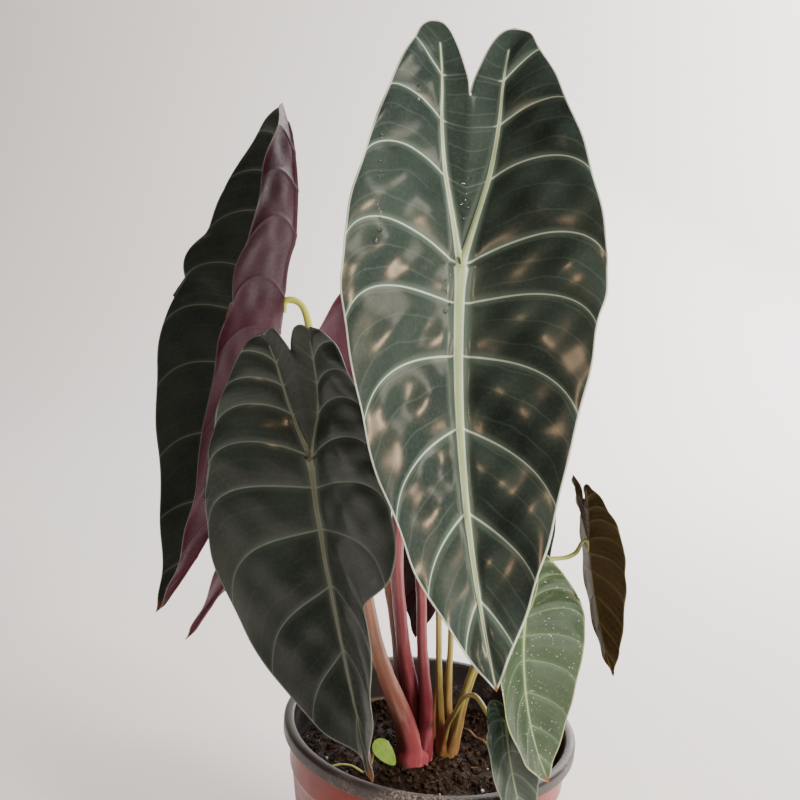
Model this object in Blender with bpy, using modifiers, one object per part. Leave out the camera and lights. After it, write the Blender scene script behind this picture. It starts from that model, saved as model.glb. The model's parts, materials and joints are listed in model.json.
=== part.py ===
"""A potted alocasia: a nursery pot, its soil, two clumps of stalks, nine blades and two seedlings."""

import math

import bmesh
import bpy
import numpy as np
from mathutils import Matrix

# Pot, in metres. The origin is the centre of the foot, +Z is up and -Y is the front.
RIM_D = 0.140
POT_H = 0.120
FOOT_D = 0.100
RIM_BAND = 0.0065
RIM_LIP = 0.0040
WALL = 0.0010
FLOOR = 0.0016
FLOOR_RISE = 0.0015
STEP_DROP = 0.022
STEP_IN = 0.0012
DRAIN_D = 0.008
DRAIN_RING = 0.060
DRAIN_COUNT = 6
TURN_STEPS = 48

# Soil
SOIL_DROP = 0.023
SOIL_MOUND = 0.0015
GAP = 0.0003

# Plant. Every blade and stalk below is sized from these.
PLANT = 1.0
BLADE_THICK = 0.0009
CROWN_R = 0.0092
CROWN_H = 0.019
OFFSET_R = 0.0062
OFFSET_H = 0.015
CLUMP_DEEP = 0.010

SOIL_Z = POT_H - SOIL_DROP
CROWN = np.array([-0.006, 0.003, SOIL_Z])
OFFSET = np.array([0.0105, 0.010, SOIL_Z])
CROWN_TOP = CROWN + (0, 0, CROWN_H)
OFFSET_TOP = OFFSET + (0, 0, OFFSET_H)

# One half of a blade, from its tip (row 0) past the stalk joint (row 6) to its lobe end (row 10),
# in parts of the blade's half width across and of its tip or lobe length along.
RIB = [-1.0, -0.80, -0.60, -0.40, -0.225, -0.095, 0.0]
LOBE_RIB_X = [0.0, 0.17, 0.23, 0.25, 0.30]
LOBE_RIB_Y = [0.0, 0.34, 0.57, 0.76, 1.0]
MARGIN = [
    (0.0, -1.0),
    (0.16, -0.915),
    (0.385, -0.79),
    (0.59, -0.63),
    (0.80, -0.415),
    (0.95, -0.19),
    (1.0, -0.01),
    (0.96, 0.31),
    (0.80, 0.63),
    (0.56, 0.89),
    (0.30, 1.0),
]
INNER = [(0.0, 0.0), (0.0, 0.30), (0.0, 0.54), (0.03, 0.77), (0.30, 1.0)]
# Both edges run level into the lobe's end, so that it is round.
MARGIN_END = (-0.45, 0.0)
INNER_END = (0.40, 0.0)
# How far along the blade a side vein sets off from the rib and comes in to the margin, by row.
START = [-1.4, -1.2, -0.85, -0.5, -0.1, 0.15, 0.6, 0.75, 0.85, 1.3, 1.6]
FINISH = [0.6, 0.6, 0.6, 0.6, 0.5, 0.4, 0.33, 0.28, 0.15, 0.05, 0.0]
JOINT, SINUS = 6.0, 8.6
TIP_ROWS = [0, 0.7, 1.4, 2.2, 3.0, 4.0, 5.0, JOINT]
LOBE_ROWS = [JOINT, 7.0, 7.9, SINUS, 9.25, 9.65, 10.0]
HALF_COLUMNS = [0, 0.3, 0.62, 0.86, 1.0]
CENTRE_COLUMNS = [-1.0, -0.5]

PARTS = bpy.data.collections.new("potted_alocasia")
CUTTERS = bpy.data.collections.new("cutters")


def clear_scene():
    for thing in list(bpy.data.objects):
        bpy.data.objects.remove(thing, do_unlink=True)
    for group in list(bpy.data.collections):
        if group not in (PARTS, CUTTERS):
            bpy.data.collections.remove(group)
    bpy.context.scene.collection.children.link(PARTS)
    bpy.context.scene.collection.children.link(CUTTERS)


def material(name, color, roughness):
    made = bpy.data.materials.new(name)
    made.use_nodes = True
    shader = made.node_tree.nodes["Principled BSDF"]
    shader.inputs["Base Color"].default_value = (*color, 1.0)
    shader.inputs["Roughness"].default_value = roughness
    made.diffuse_color = (*color, 1.0)
    return made


def part(name, data, color, roughness, stand, at=(0, 0, 0)):
    """A sub-part with its own material, standing at its place under the empty stand."""
    obj = bpy.data.objects.new(name, data)
    obj.parent = stand
    obj.location = at
    data.materials.append(material(name, color, roughness))
    PARTS.objects.link(obj)
    return obj


def mesh_of(name, bm):
    mesh = bpy.data.meshes.new(name)
    bm.to_mesh(mesh)
    bm.free()
    mesh.shade_smooth()
    return mesh


def cut(obj, name, radius, low, high, centre, sides):
    """A round upright hole in obj, from height low to high."""
    bm = bmesh.new()
    bmesh.ops.create_cone(
        bm, cap_ends=True, segments=sides, radius1=radius, radius2=radius, depth=high - low
    )
    cutter = bpy.data.objects.new(name, mesh_of(name, bm))
    cutter.location = (centre[0], centre[1], (low + high) / 2)
    cutter.hide_render = True
    cutter.display_type = "WIRE"
    CUTTERS.objects.link(cutter)
    boolean = obj.modifiers.new("Cut " + name, "BOOLEAN")
    boolean.operation = "DIFFERENCE"
    boolean.solver = "EXACT"
    boolean.object = cutter


def wall_radius(z):
    """Outside radius of the pot wall at height z."""
    foot = FOOT_D / 2
    top = RIM_D / 2 - RIM_LIP
    if z > POT_H - STEP_DROP:
        return top
    return foot + (top - STEP_IN - foot) * z / (POT_H - STEP_DROP)


def build_pot(stand):
    """The shell turned about +Z: out along the floor, over the rim, down the outside and in under the foot."""
    foot = FOOT_D / 2
    rim = RIM_D / 2
    top = rim - RIM_LIP
    step = POT_H - STEP_DROP
    band = POT_H - RIM_BAND
    profile = [
        (0.0, FLOOR + FLOOR_RISE),
        (foot * 0.55, FLOOR + FLOOR_RISE),
        (foot * 0.66, FLOOR),
        (wall_radius(FLOOR) - WALL, FLOOR),
        (wall_radius(step - 0.001) - WALL, step - 0.0012),
        (top - WALL, step + 0.0008),
        (top - WALL, POT_H - 0.0012),
        (top - WALL * 0.4, POT_H - 0.0002),
        (top + RIM_LIP * 0.45, POT_H),
        (rim - 0.0006, POT_H - 0.0004),
        (rim, POT_H - 0.0014),
        (rim, band + 0.0005),
        (rim - 0.0004, band),
        (rim - 0.0014, band),
        (rim - 0.0016, band + 0.0008),
        (top + 0.0002, POT_H - 0.0022),
        (top, POT_H - 0.0034),
        (top, step),
        (top - STEP_IN, step - 0.0020),
        (wall_radius(0.004), 0.004),
        (foot, 0.0012),
        (foot - 0.0012, 0.0),
        (foot * 0.68, 0.0),
        (foot * 0.62, 0.0010),
        (foot * 0.50, 0.0010),
        (foot * 0.44, 0.0),
        (0.0, 0.0),
    ]
    mesh = bpy.data.meshes.new("pot")
    edges = [(i, i + 1) for i in range(len(profile) - 1)]
    mesh.from_pydata([(r, 0.0, z) for r, z in profile], edges, [])
    pot = part("pot", mesh, (0.42, 0.045, 0.030), 0.4, stand)
    screw = pot.modifiers.new("Turn", "SCREW")
    screw.axis = "Z"
    screw.steps = TURN_STEPS
    screw.render_steps = TURN_STEPS
    screw.use_merge_vertices = True
    screw.merge_threshold = 1e-5
    for i in range(DRAIN_COUNT):
        a = 2 * math.pi * (i + 0.5) / DRAIN_COUNT
        centre = (DRAIN_RING / 2 * math.cos(a), DRAIN_RING / 2 * math.sin(a))
        cut(pot, "drain_%d" % i, DRAIN_D / 2, -0.004, FLOOR + 0.006, centre, 12)


def soil_height(x, y):
    """Top of the soil: low mounds, level round the stalks and at the wall."""
    mound = math.sin(95 * x + 1.1) * math.cos(80 * y - 0.4) + 0.6 * math.sin(190 * y + 120 * x)
    near = min(math.hypot(x - p[0], y - p[1]) for p in (CROWN, OFFSET))
    edge = wall_radius(SOIL_Z) - math.hypot(x, y)
    calm = min(1.0, max(0.0, (near - 0.013) / 0.012)) * min(1.0, max(0.0, edge / 0.008))
    return SOIL_Z + SOIL_MOUND * mound * calm


def build_soil(stand):
    """A fill turned to the inside of the pot, its top raised into mounds, with a pit for each clump."""
    bottom = FLOOR + FLOOR_RISE + GAP
    level = min(SOIL_Z, POT_H - STEP_DROP - 0.003)

    def inside(z):
        return wall_radius(z) - WALL - GAP

    profile = [(0.0, bottom), (FOOT_D / 4, bottom), (inside(FLOOR + 0.004), FLOOR + 0.004)]
    profile.append((inside(SOIL_Z - 0.004), SOIL_Z - 0.004))
    profile += [(inside(level) * k, SOIL_Z) for k in (1.0, 0.88, 0.74, 0.58, 0.40, 0.20, 0.0)]
    bm = bmesh.new()
    verts = [bm.verts.new((r, 0.0, z)) for r, z in profile]
    edges = [bm.edges.new(pair) for pair in zip(verts, verts[1:])]
    bmesh.ops.spin(
        bm, geom=verts + edges, cent=(0, 0, 0), axis=(0, 0, 1), angle=2 * math.pi,
        steps=TURN_STEPS, use_merge=True, use_duplicate=False,
    )
    bmesh.ops.remove_doubles(bm, verts=bm.verts, dist=1e-6)
    bmesh.ops.recalc_face_normals(bm, faces=bm.faces)
    for v in bm.verts:
        if v.co.z > SOIL_Z - 0.001:
            v.co.z = soil_height(v.co.x, v.co.y)
    soil = part("soil", mesh_of("soil", bm), (0.022, 0.014, 0.010), 0.95, stand)
    low, high = SOIL_Z - CLUMP_DEEP - GAP, SOIL_Z + 0.02
    cut(soil, "crown_pit", CROWN_R + 2 * GAP, low, high, CROWN, 16)
    cut(soil, "offset_pit", OFFSET_R + 2 * GAP, low, high, OFFSET, 16)


def tube(name, path, color, stand, sides=1, fine=5):
    """A round bevelled curve through path, which holds (x, y, z, radius). Its origin is its foot."""
    curve = bpy.data.curves.new(name, "CURVE")
    curve.dimensions = "3D"
    curve.resolution_u = fine
    curve.bevel_depth = 1.0
    curve.bevel_resolution = sides
    curve.use_fill_caps = True
    spline = curve.splines.new("BEZIER")
    spline.bezier_points.add(len(path) - 1)
    foot = np.array(path[0][:3])
    for point, (x, y, z, r) in zip(spline.bezier_points, path):
        point.co = np.array([x, y, z]) - foot
        point.radius = r
        point.handle_left_type = "AUTO"
        point.handle_right_type = "AUTO"
    return part(name, curve, color, 0.45, stand, foot)


def smooth(values, at, first=0, end=None):
    """A smooth curve through the rows of values, read at the rows in at. end is its slope at the last row."""
    v = np.asarray(values, float)
    m = np.gradient(v, axis=0)
    if end is not None:
        m[-1] = end
    t = np.asarray(at, float) - first
    i = np.clip(np.floor(t).astype(int), 0, len(v) - 2)
    t = t - i
    if v.ndim > 1:
        t = t[..., None]
    near = (2 * t**3 - 3 * t**2 + 1) * v[i] + (t**3 - 2 * t**2 + t) * m[i]
    return near + (3 * t**2 - 2 * t**3) * v[i + 1] + (t**3 - t**2) * m[i + 1]


def sized(b, x, y):
    return np.stack([x * b["width"], np.where(y < 0, y * b["tip"], y * b["lobe"])], -1)


def flat_blade(b, row, u):
    """Points of half a blade laid flat. u is 0 on the rib, 1 on the margin and -1 on the centre line."""
    row = np.asarray(row, float)
    u = np.asarray(u, float)
    up = np.maximum(row, JOINT)
    rib_x = np.where(row <= JOINT, 0, smooth(LOBE_RIB_X, up, JOINT) * b["spread"])
    rib_y = np.where(row <= JOINT, smooth(RIB, np.minimum(row, JOINT)), smooth(LOBE_RIB_Y, up, JOINT))
    rib = sized(b, rib_x, rib_y)
    m = smooth(MARGIN, row, end=MARGIN_END)
    across = m[..., 0] * (1 + 2 * b["taper"] * np.clip(-m[..., 1], 0, 1) * np.clip(1 + m[..., 1], 0, 1))
    across = across + b["shoulder"] * np.sin(math.pi * np.clip((row - JOINT) / 4, 0, 1))
    margin = sized(b, across, m[..., 1])
    n = smooth(INNER, up, JOINT, INNER_END)
    inner = sized(b, np.where(up <= SINUS, 0, np.maximum(n[..., 0], 0)) * b["spread"], n[..., 1])
    d = margin - rib
    one = np.ones_like(row)
    p1 = rib + 0.42 * d[..., :1] * np.stack([one, smooth(START, row)], -1)
    p2 = margin - d[..., :1] * np.stack([0.10 * one, -smooth(FINISH, row)], -1)
    w = np.clip(u, 0, 1)[..., None]
    out = (1 - w) ** 3 * rib + 3 * (1 - w) ** 2 * w * p1 + 3 * (1 - w) * w**2 * p2 + w**3 * margin
    return np.where(u[..., None] >= 0, out, rib + (inner - rib) * np.clip(-u, 0, 1)[..., None])


def form_blade(b, flat, side):
    """The flat half blade folded at the rib, arched, swept and twisted, with its face along +Z."""
    x, y = flat[..., 0], flat[..., 1]
    tip, lobe = b["tip"], b["lobe"]
    up = np.clip(y / lobe, 0, 1)
    rib_x = np.interp(up, LOBE_RIB_Y, LOBE_RIB_X) * b["width"] * b["spread"]
    grow = b["right"] if side > 0 else 2 - b["right"]
    within = np.minimum(x, rib_x) * grow
    beyond = np.maximum(x - rib_x, 0) * grow
    a = math.radians(b["fold"]) + math.radians(b["curl"]) * x / b["width"] / 2
    across = side * (within + beyond * np.cos(a))
    high = beyond * np.sin(a) - within * math.sin(math.radians(b["rise"]))
    t = np.clip(-y / tip, 0, None)
    turn = math.radians(b["sweep"]) * t
    reach = t * tip * np.sinc(turn / 2 / math.pi)
    cx = reach * np.sin(turn / 2)
    cy = np.where(y < 0, -reach * np.cos(turn / 2), y)
    across, along = cx + across * np.cos(turn), cy + across * np.sin(turn)
    twist = math.radians(b["twist"]) * t
    across, high = (
        across * np.cos(twist) + high * np.sin(twist),
        high * np.cos(twist) - across * np.sin(twist),
    )
    bend = np.where(along < 0, b["bend"] * t, b["lobe_bend"] * np.clip(along / lobe, 0, None))
    sign = np.where(along < 0, -1.0, 1.0)
    bend = np.radians(bend)
    arc = np.abs(along) * np.sinc(bend / 2 / math.pi)
    y2 = sign * (arc * np.cos(bend / 2) + high * np.sin(bend))
    z2 = -arc * np.sin(bend / 2) + high * np.cos(bend)
    return np.stack([across, y2, z2], -1)


def blade_turn(b):
    """The blade's attitude: rolled in its own plane, leaned back by its tilt, then turned to its heading."""
    roll, tilt, heading = (math.radians(b[k]) for k in ("roll", "tilt", "heading"))
    lean = Matrix.Rotation(math.pi / 2 - tilt, 3, "X")
    return Matrix.Rotation(heading, 3, "Z") @ lean @ Matrix.Rotation(roll, 3, "Z")


def spot(p):
    """A place given from the pot's axis and up from the soil, scaled about the crown."""
    return CROWN + (np.array(p) - (CROWN[0], CROWN[1], 0)) * PLANT


def blade(name, color, stand, at, heading, tilt, roll, tip, lobe, width, fold, **shape):
    """Both halves of a blade lofted from its rows, given a thickness and stood at its stalk joint."""
    b = dict(curl=0, sweep=0, twist=0, bend=0, lobe_bend=0, taper=0, shoulder=0)
    b.update(spread=1, right=1, rise=6)
    b.update(shape)
    b.update(heading=heading, tilt=tilt, roll=roll, fold=fold, at=spot(at))
    b.update(tip=tip * PLANT, lobe=lobe * PLANT, width=width * PLANT)
    bm = bmesh.new()
    patches = ((TIP_ROWS, HALF_COLUMNS), (LOBE_ROWS, CENTRE_COLUMNS + HALF_COLUMNS))
    for side in (1, -1):
        for rows, columns in patches:
            row, u = np.meshgrid(rows, columns, indexing="ij")
            grid = form_blade(b, flat_blade(b, row, u), side)
            verts = [[bm.verts.new(p) for p in line] for line in grid]
            for low, high in zip(verts, verts[1:]):
                for ring in zip(low, low[1:], high[1:], high):
                    bm.faces.new(ring[::side])
    bmesh.ops.remove_doubles(bm, verts=bm.verts, dist=1e-6)
    obj = part(name, mesh_of(name, bm), color, 0.35, stand, b["at"])
    obj.rotation_euler = blade_turn(b).to_euler()
    solid = obj.modifiers.new("Thickness", "SOLIDIFY")
    solid.thickness = BLADE_THICK
    solid.offset = -1.0
    return b


def stalk(name, color, stand, b, start, via, radius, reach, slant):
    """A petiole from its clump to just behind its blade's joint, which it meets at slant degrees."""
    turn = np.array(blade_turn(b))
    face, toward_tip = turn[:, 2], -turn[:, 1]
    lean = math.radians(slant)
    back = toward_tip * math.sin(lean) - face * math.cos(lean)
    end = b["at"] - face * (BLADE_THICK + 2 * GAP + radius[1] * math.sin(lean))
    first = spot(via[0]) - start
    tilt = math.hypot(first[0], first[1]) / np.linalg.norm(first)
    path = [(start[0], start[1], start[2] + radius[0] * tilt, radius[0])]
    for k, p in enumerate(via):
        path.append((*spot(p), radius[0] + (radius[1] - radius[0]) * (k + 1) / (len(via) + 1)))
    path.append((*(end + back * reach * PLANT), radius[1] * 1.02))
    path.append((*end, radius[1] * 0.95))
    return tube(name, path, color, stand, fine=4)


def build_clump(name, centre, radius, height, lean, color, stand):
    """A swollen base, sunk in the soil and leaning a little."""
    x, y, z = centre
    path = [
        (x, y, z - CLUMP_DEEP, radius * 0.80),
        (x, y, z - 0.002, radius * 0.97),
        (x + lean, y, z + height * 0.45, radius),
        (x + lean * 2, y, z + height, radius * 0.94),
    ]
    return tube(name, path, color, stand, sides=3, fine=3)


def build_plant(stand):
    dark, under, pale = (0.012, 0.022, 0.016), (0.050, 0.016, 0.022), (0.10, 0.16, 0.075)
    red, yellow = (0.18, 0.035, 0.038), (0.28, 0.26, 0.07)
    build_clump("stem_base", CROWN, CROWN_R, CROWN_H, 0.001, (0.20, 0.040, 0.045), stand)
    build_clump("offset_base", OFFSET, OFFSET_R, OFFSET_H, -0.0005, (0.24, 0.12, 0.035), stand)

    front = blade(
        "blade_front_large", dark, stand, at=(-0.0095, -0.076, 0.2465),
        heading=3, tilt=25.5, roll=-0.5, tip=0.155, lobe=0.107, width=0.0535, fold=35,
        curl=-8.5, sweep=14, twist=-4, bend=-11, lobe_bend=7, taper=-0.04, right=1.06,
        shoulder=-0.09, spread=0.94, rise=20,
    )
    left = blade(
        "blade_front_left", dark, stand, at=(-0.0615, -0.060, 0.1635),
        heading=-33, tilt=1, roll=14, tip=0.1295, lobe=0.052, width=0.0455, fold=30,
        curl=-21, sweep=22, twist=-17, bend=-6, lobe_bend=-16, taper=0.69, shoulder=-0.04,
        spread=0.85, rise=10,
    )
    back = blade(
        "blade_back_left", dark, stand, at=(-0.085, 0.012, 0.2175),
        heading=-78, tilt=2.5, roll=1, tip=0.160, lobe=0.086, width=0.0575, fold=29,
        curl=17, sweep=4.5, twist=3.5, bend=-33, lobe_bend=-17, taper=0.58, right=0.725,
        shoulder=0.1, rise=22,
    )
    middle = blade(
        "blade_back_middle", under, stand, at=(-0.0425, 0.072, 0.178),
        heading=-131, tilt=7.5, roll=42, tip=0.164, lobe=0.071, width=0.052, fold=6,
        curl=-10, bend=6, lobe_bend=6, sweep=-9, twist=34,
    )
    low = blade(
        "blade_back_low", under, stand, at=(-0.004, 0.044, 0.125),
        heading=172, tilt=8, roll=4, tip=0.084, lobe=0.032, width=0.024, fold=25,
        bend=8, lobe_bend=8,
    )
    young = blade(
        "blade_young_light", pale, stand, at=(0.0305, -0.068, 0.106),
        heading=35, tilt=9.5, roll=-6, tip=0.076, lobe=0.0265, width=0.025, fold=35,
        curl=-10, sweep=36, twist=3, bend=2, lobe_bend=10, taper=0.15, right=1.05,
        shoulder=-0.1, rise=2,
    )
    over = blade(
        "blade_over_rim", dark, stand, at=(0.028, -0.064, 0.058),
        heading=27, tilt=9.5, roll=6.5, tip=0.0585, lobe=0.0105, width=0.0155, fold=37,
        sweep=21, twist=-3, bend=12, lobe_bend=10,
    )
    small = blade(
        "blade_right_small", under, stand, at=(0.0655, 0.0, 0.120),
        heading=108, tilt=13, roll=0, tip=0.0685, lobe=0.030, width=0.023, fold=19,
        sweep=-15, twist=13, lobe_bend=5,
    )
    hidden = blade(
        "blade_behind_front", dark, stand, at=(0.030, 0.006, 0.150),
        heading=25, tilt=12, roll=14, tip=0.060, lobe=0.030, width=0.017, fold=22,
        bend=8, lobe_bend=8,
    )

    def on(top, dx, dy):
        return top + (dx, dy, 1.5 * GAP)

    stalk(
        "stalk_front_large", red, stand, front, on(CROWN_TOP, 0.0010, 0.0045),
        [(-0.0165, -0.005, 0.064), (-0.0235, -0.019, 0.119), (-0.021, -0.036, 0.185)],
        (0.0033, 0.0026), 0.020, 35,
    )
    stalk(
        "stalk_front_left", red, stand, left, on(CROWN_TOP, -0.0030, -0.0048),
        [(-0.0285, -0.027, 0.070), (-0.0385, -0.036, 0.110)], (0.0033, 0.0024), 0.016, 35,
    )
    stalk(
        "stalk_back_left", red, stand, back, on(CROWN_TOP, -0.0056, 0.0018),
        [(-0.023, 0.010, 0.075), (-0.045, 0.013, 0.140)], (0.0025, 0.0017), 0.030, 58,
    )
    stalk(
        "stalk_back_middle", red, stand, middle, on(CROWN_TOP, 0.0050, -0.0022),
        [(-0.0070, -0.002, 0.060), (-0.0125, 0.003, 0.100)], (0.0027, 0.0021), 0.020, 45,
    )
    stalk(
        "stalk_back_low", yellow, stand, low, on(OFFSET_TOP, -0.0038, 0.0006),
        [(0.0025, 0.004, 0.045), (-0.0015, 0.006, 0.085)], (0.0016, 0.0014), 0.012, 40,
    )
    stalk(
        "stalk_behind_front", yellow, stand, hidden, on(OFFSET_TOP, -0.0005, 0.0038),
        [(0.0075, 0.012, 0.050), (0.008, 0.016, 0.085)], (0.0016, 0.0014), 0.012, 40,
    )
    stalk(
        "stalk_right_small", yellow, stand, small, on(OFFSET_TOP, 0.0036, 0.0013),
        [(0.018, -0.006, 0.050), (0.030, -0.012, 0.088), (0.044, -0.010, 0.110)],
        (0.0018, 0.0010), 0.008, 40,
    )
    stalk(
        "stalk_young_light", yellow, stand, young, on(OFFSET_TOP, 0.0022, -0.0031),
        [(0.014, -0.014, 0.045), (0.020, -0.030, 0.078)], (0.0017, 0.0013), 0.010, 40,
    )
    stalk(
        "stalk_over_rim", yellow, stand, over, on(OFFSET_TOP, -0.0022, -0.0032),
        [(0.010, -0.018, 0.036), (0.016, -0.036, 0.055)], (0.0012, 0.0010), 0.006, 35,
    )


def drop_leaf(name, color, stand, at, turn, length, width, thick):
    """A small leaf: a flattened sphere that is broad near its stem and narrows to its tip. Its stem end is at."""
    bm = bmesh.new()
    bmesh.ops.create_uvsphere(bm, u_segments=12, v_segments=8, radius=1.0)
    for v in bm.verts:
        x, y, z = v.co
        v.co = (x * width / 2 * (1 + 0.35 * y), (y - 1) * length / 2, z * thick / 2)
    leaf = part(name, mesh_of(name, bm), color, 0.4, stand, at)
    heading, lean, roll = (math.radians(angle) for angle in turn)
    across = Matrix.Rotation(roll, 3, "Z")
    upright = Matrix.Rotation(heading, 3, "Z") @ Matrix.Rotation(lean, 3, "X")
    leaf.rotation_euler = (upright @ across).to_euler()


def build_small(stand):
    """A new shoot, two seedlings and a twig on the soil."""
    yellow, green = (0.28, 0.26, 0.07), (0.28, 0.46, 0.09)
    x, y = 0.0035, 0.022
    z = soil_height(x, y) + GAP
    path = [(x, y, z, 0.0017), (x, y, z + 0.020, 0.0015), (x + 0.001, y - 0.001, z + 0.040, 0.0004)]
    tube("new_shoot", path, yellow, stand)
    front = ("seedling_front", (-0.0255, -0.0135, 0.0165), (-0.0262, -0.0085), 0.0005)
    left = ("seedling_left", (-0.0470, -0.0290, 0.0095), (-0.0290, -0.0140), 0.0030)
    for (name, at, foot, bow), turn, size in (
        (front, (12, 50, 38), (0.0145, 0.0085)),
        (left, (-20, 42, -80), (0.0072, 0.0066)),
    ):
        at = spot(at)
        drop_leaf(name + "_leaf", green, stand, at, turn, *size, 0.0010)
        low = np.array([*foot, soil_height(*foot) + 0.0008])
        end = low + (at - low) * (1 - 0.0014 / np.linalg.norm(at - low))
        middle = (low + end) / 2 + (0, 0, bow)
        tube(name + "_stem", [(*low, 0.0006), (*middle, 0.0005), (*end, 0.0004)], green, stand)
    z = SOIL_Z + SOIL_MOUND * 1.6 + 0.0004
    path = [(0.018, 0.032, z, 0.0007), (0.025, 0.022, z + 0.0015, 0.0009), (0.033, 0.010, z, 0.0007)]
    tube("twig", path, (0.12, 0.08, 0.05), stand)


def main():
    clear_scene()
    stand = bpy.data.objects.new("stand", None)
    PARTS.objects.link(stand)
    build_pot(stand)
    build_soil(stand)
    build_plant(stand)
    build_small(stand)


main()
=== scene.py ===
"""A potted alocasia: long veined blades on red and yellow stalks, in a two-tone nursery pot."""

import json
import math

import bmesh
import bpy
import numpy as np
from bpy.props import FloatProperty, FloatVectorProperty, IntProperty, PointerProperty
from mathutils import Matrix, Vector
from mathutils.kdtree import KDTree


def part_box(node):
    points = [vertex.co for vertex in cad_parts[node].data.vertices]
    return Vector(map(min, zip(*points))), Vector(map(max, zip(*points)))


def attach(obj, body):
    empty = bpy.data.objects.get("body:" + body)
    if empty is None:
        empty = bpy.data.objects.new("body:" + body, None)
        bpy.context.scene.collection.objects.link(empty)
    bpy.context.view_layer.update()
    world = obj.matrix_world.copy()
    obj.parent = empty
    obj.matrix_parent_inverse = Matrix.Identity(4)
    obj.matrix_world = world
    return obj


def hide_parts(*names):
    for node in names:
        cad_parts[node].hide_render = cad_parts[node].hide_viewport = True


bl_info = {
    "name": "Potted Alocasia",
    "version": (1, 0, 0),
    "blender": (4, 5, 0),
    "location": "View3D > Sidebar > Alocasia",
    "description": "Builds a potted alocasia around its solid model",
    "category": "Object",
}

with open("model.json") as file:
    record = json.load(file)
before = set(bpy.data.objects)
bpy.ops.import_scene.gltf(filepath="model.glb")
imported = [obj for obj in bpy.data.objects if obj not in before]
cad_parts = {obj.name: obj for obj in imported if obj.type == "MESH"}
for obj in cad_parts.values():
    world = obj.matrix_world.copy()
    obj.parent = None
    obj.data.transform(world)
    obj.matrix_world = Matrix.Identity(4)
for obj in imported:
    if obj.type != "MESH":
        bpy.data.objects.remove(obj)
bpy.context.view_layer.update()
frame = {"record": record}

MM = 0.001
SOIL_Z = 0.097
CROWN = np.array([-0.006, 0.003, SOIL_Z])
OFFSET = np.array([0.0105, 0.010, SOIL_Z])
CROWN_TOP = CROWN + (0, 0, 0.019)
OFFSET_TOP = OFFSET + (0, 0, 0.015)
POT_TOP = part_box("pot")[1].z
POT_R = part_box("pot")[1].x
FOOT_R = 0.050
RIM_LIP = 0.0040
RIM_BAND = 0.0065
WALL = 0.0010
FLOOR = 0.0016
STEP_Z = POT_TOP - 0.022
STEP_IN = 0.0012
DRAINS, DRAIN_R, DRAIN_RING = 6, 0.004, 0.030

STAGE_HALF, CURVE_Y, CURVE_R = 4.0, 0.9, 0.7
EYE = (-0.0277, -0.4884, 0.3765)
EYE_DOWN, EYE_LEAN = 11.74, 5.0

# Half a blade from its tip (row 0) past the stalk joint (row 6) to its lobe end (row 10), as in the
# solid model. Each whole row is a main side vein.
RIB = [-1.0, -0.80, -0.60, -0.40, -0.225, -0.095, 0.0]
LOBE_RIB_X = [0.0, 0.17, 0.23, 0.25, 0.30]
LOBE_RIB_Y = [0.0, 0.34, 0.57, 0.76, 1.0]
MARGIN = [
    (0.0, -1.0),
    (0.16, -0.915),
    (0.385, -0.79),
    (0.59, -0.63),
    (0.80, -0.415),
    (0.95, -0.19),
    (1.0, -0.01),
    (0.96, 0.31),
    (0.80, 0.63),
    (0.56, 0.89),
    (0.30, 1.0),
]
INNER = [(0.0, 0.0), (0.0, 0.30), (0.0, 0.54), (0.03, 0.77), (0.30, 1.0)]
MARGIN_END = (-0.45, 0.0)
INNER_END = (0.40, 0.0)
START = [-1.4, -1.2, -0.85, -0.5, -0.1, 0.15, 0.6, 0.75, 0.85, 1.3, 1.6]
FINISH = [0.6, 0.6, 0.6, 0.6, 0.5, 0.4, 0.33, 0.28, 0.15, 0.05, 0.0]
JOINT, TOP, SINUS = 6.0, 10.0, 8.6
SOFT_RIB = 0.0052

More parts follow.
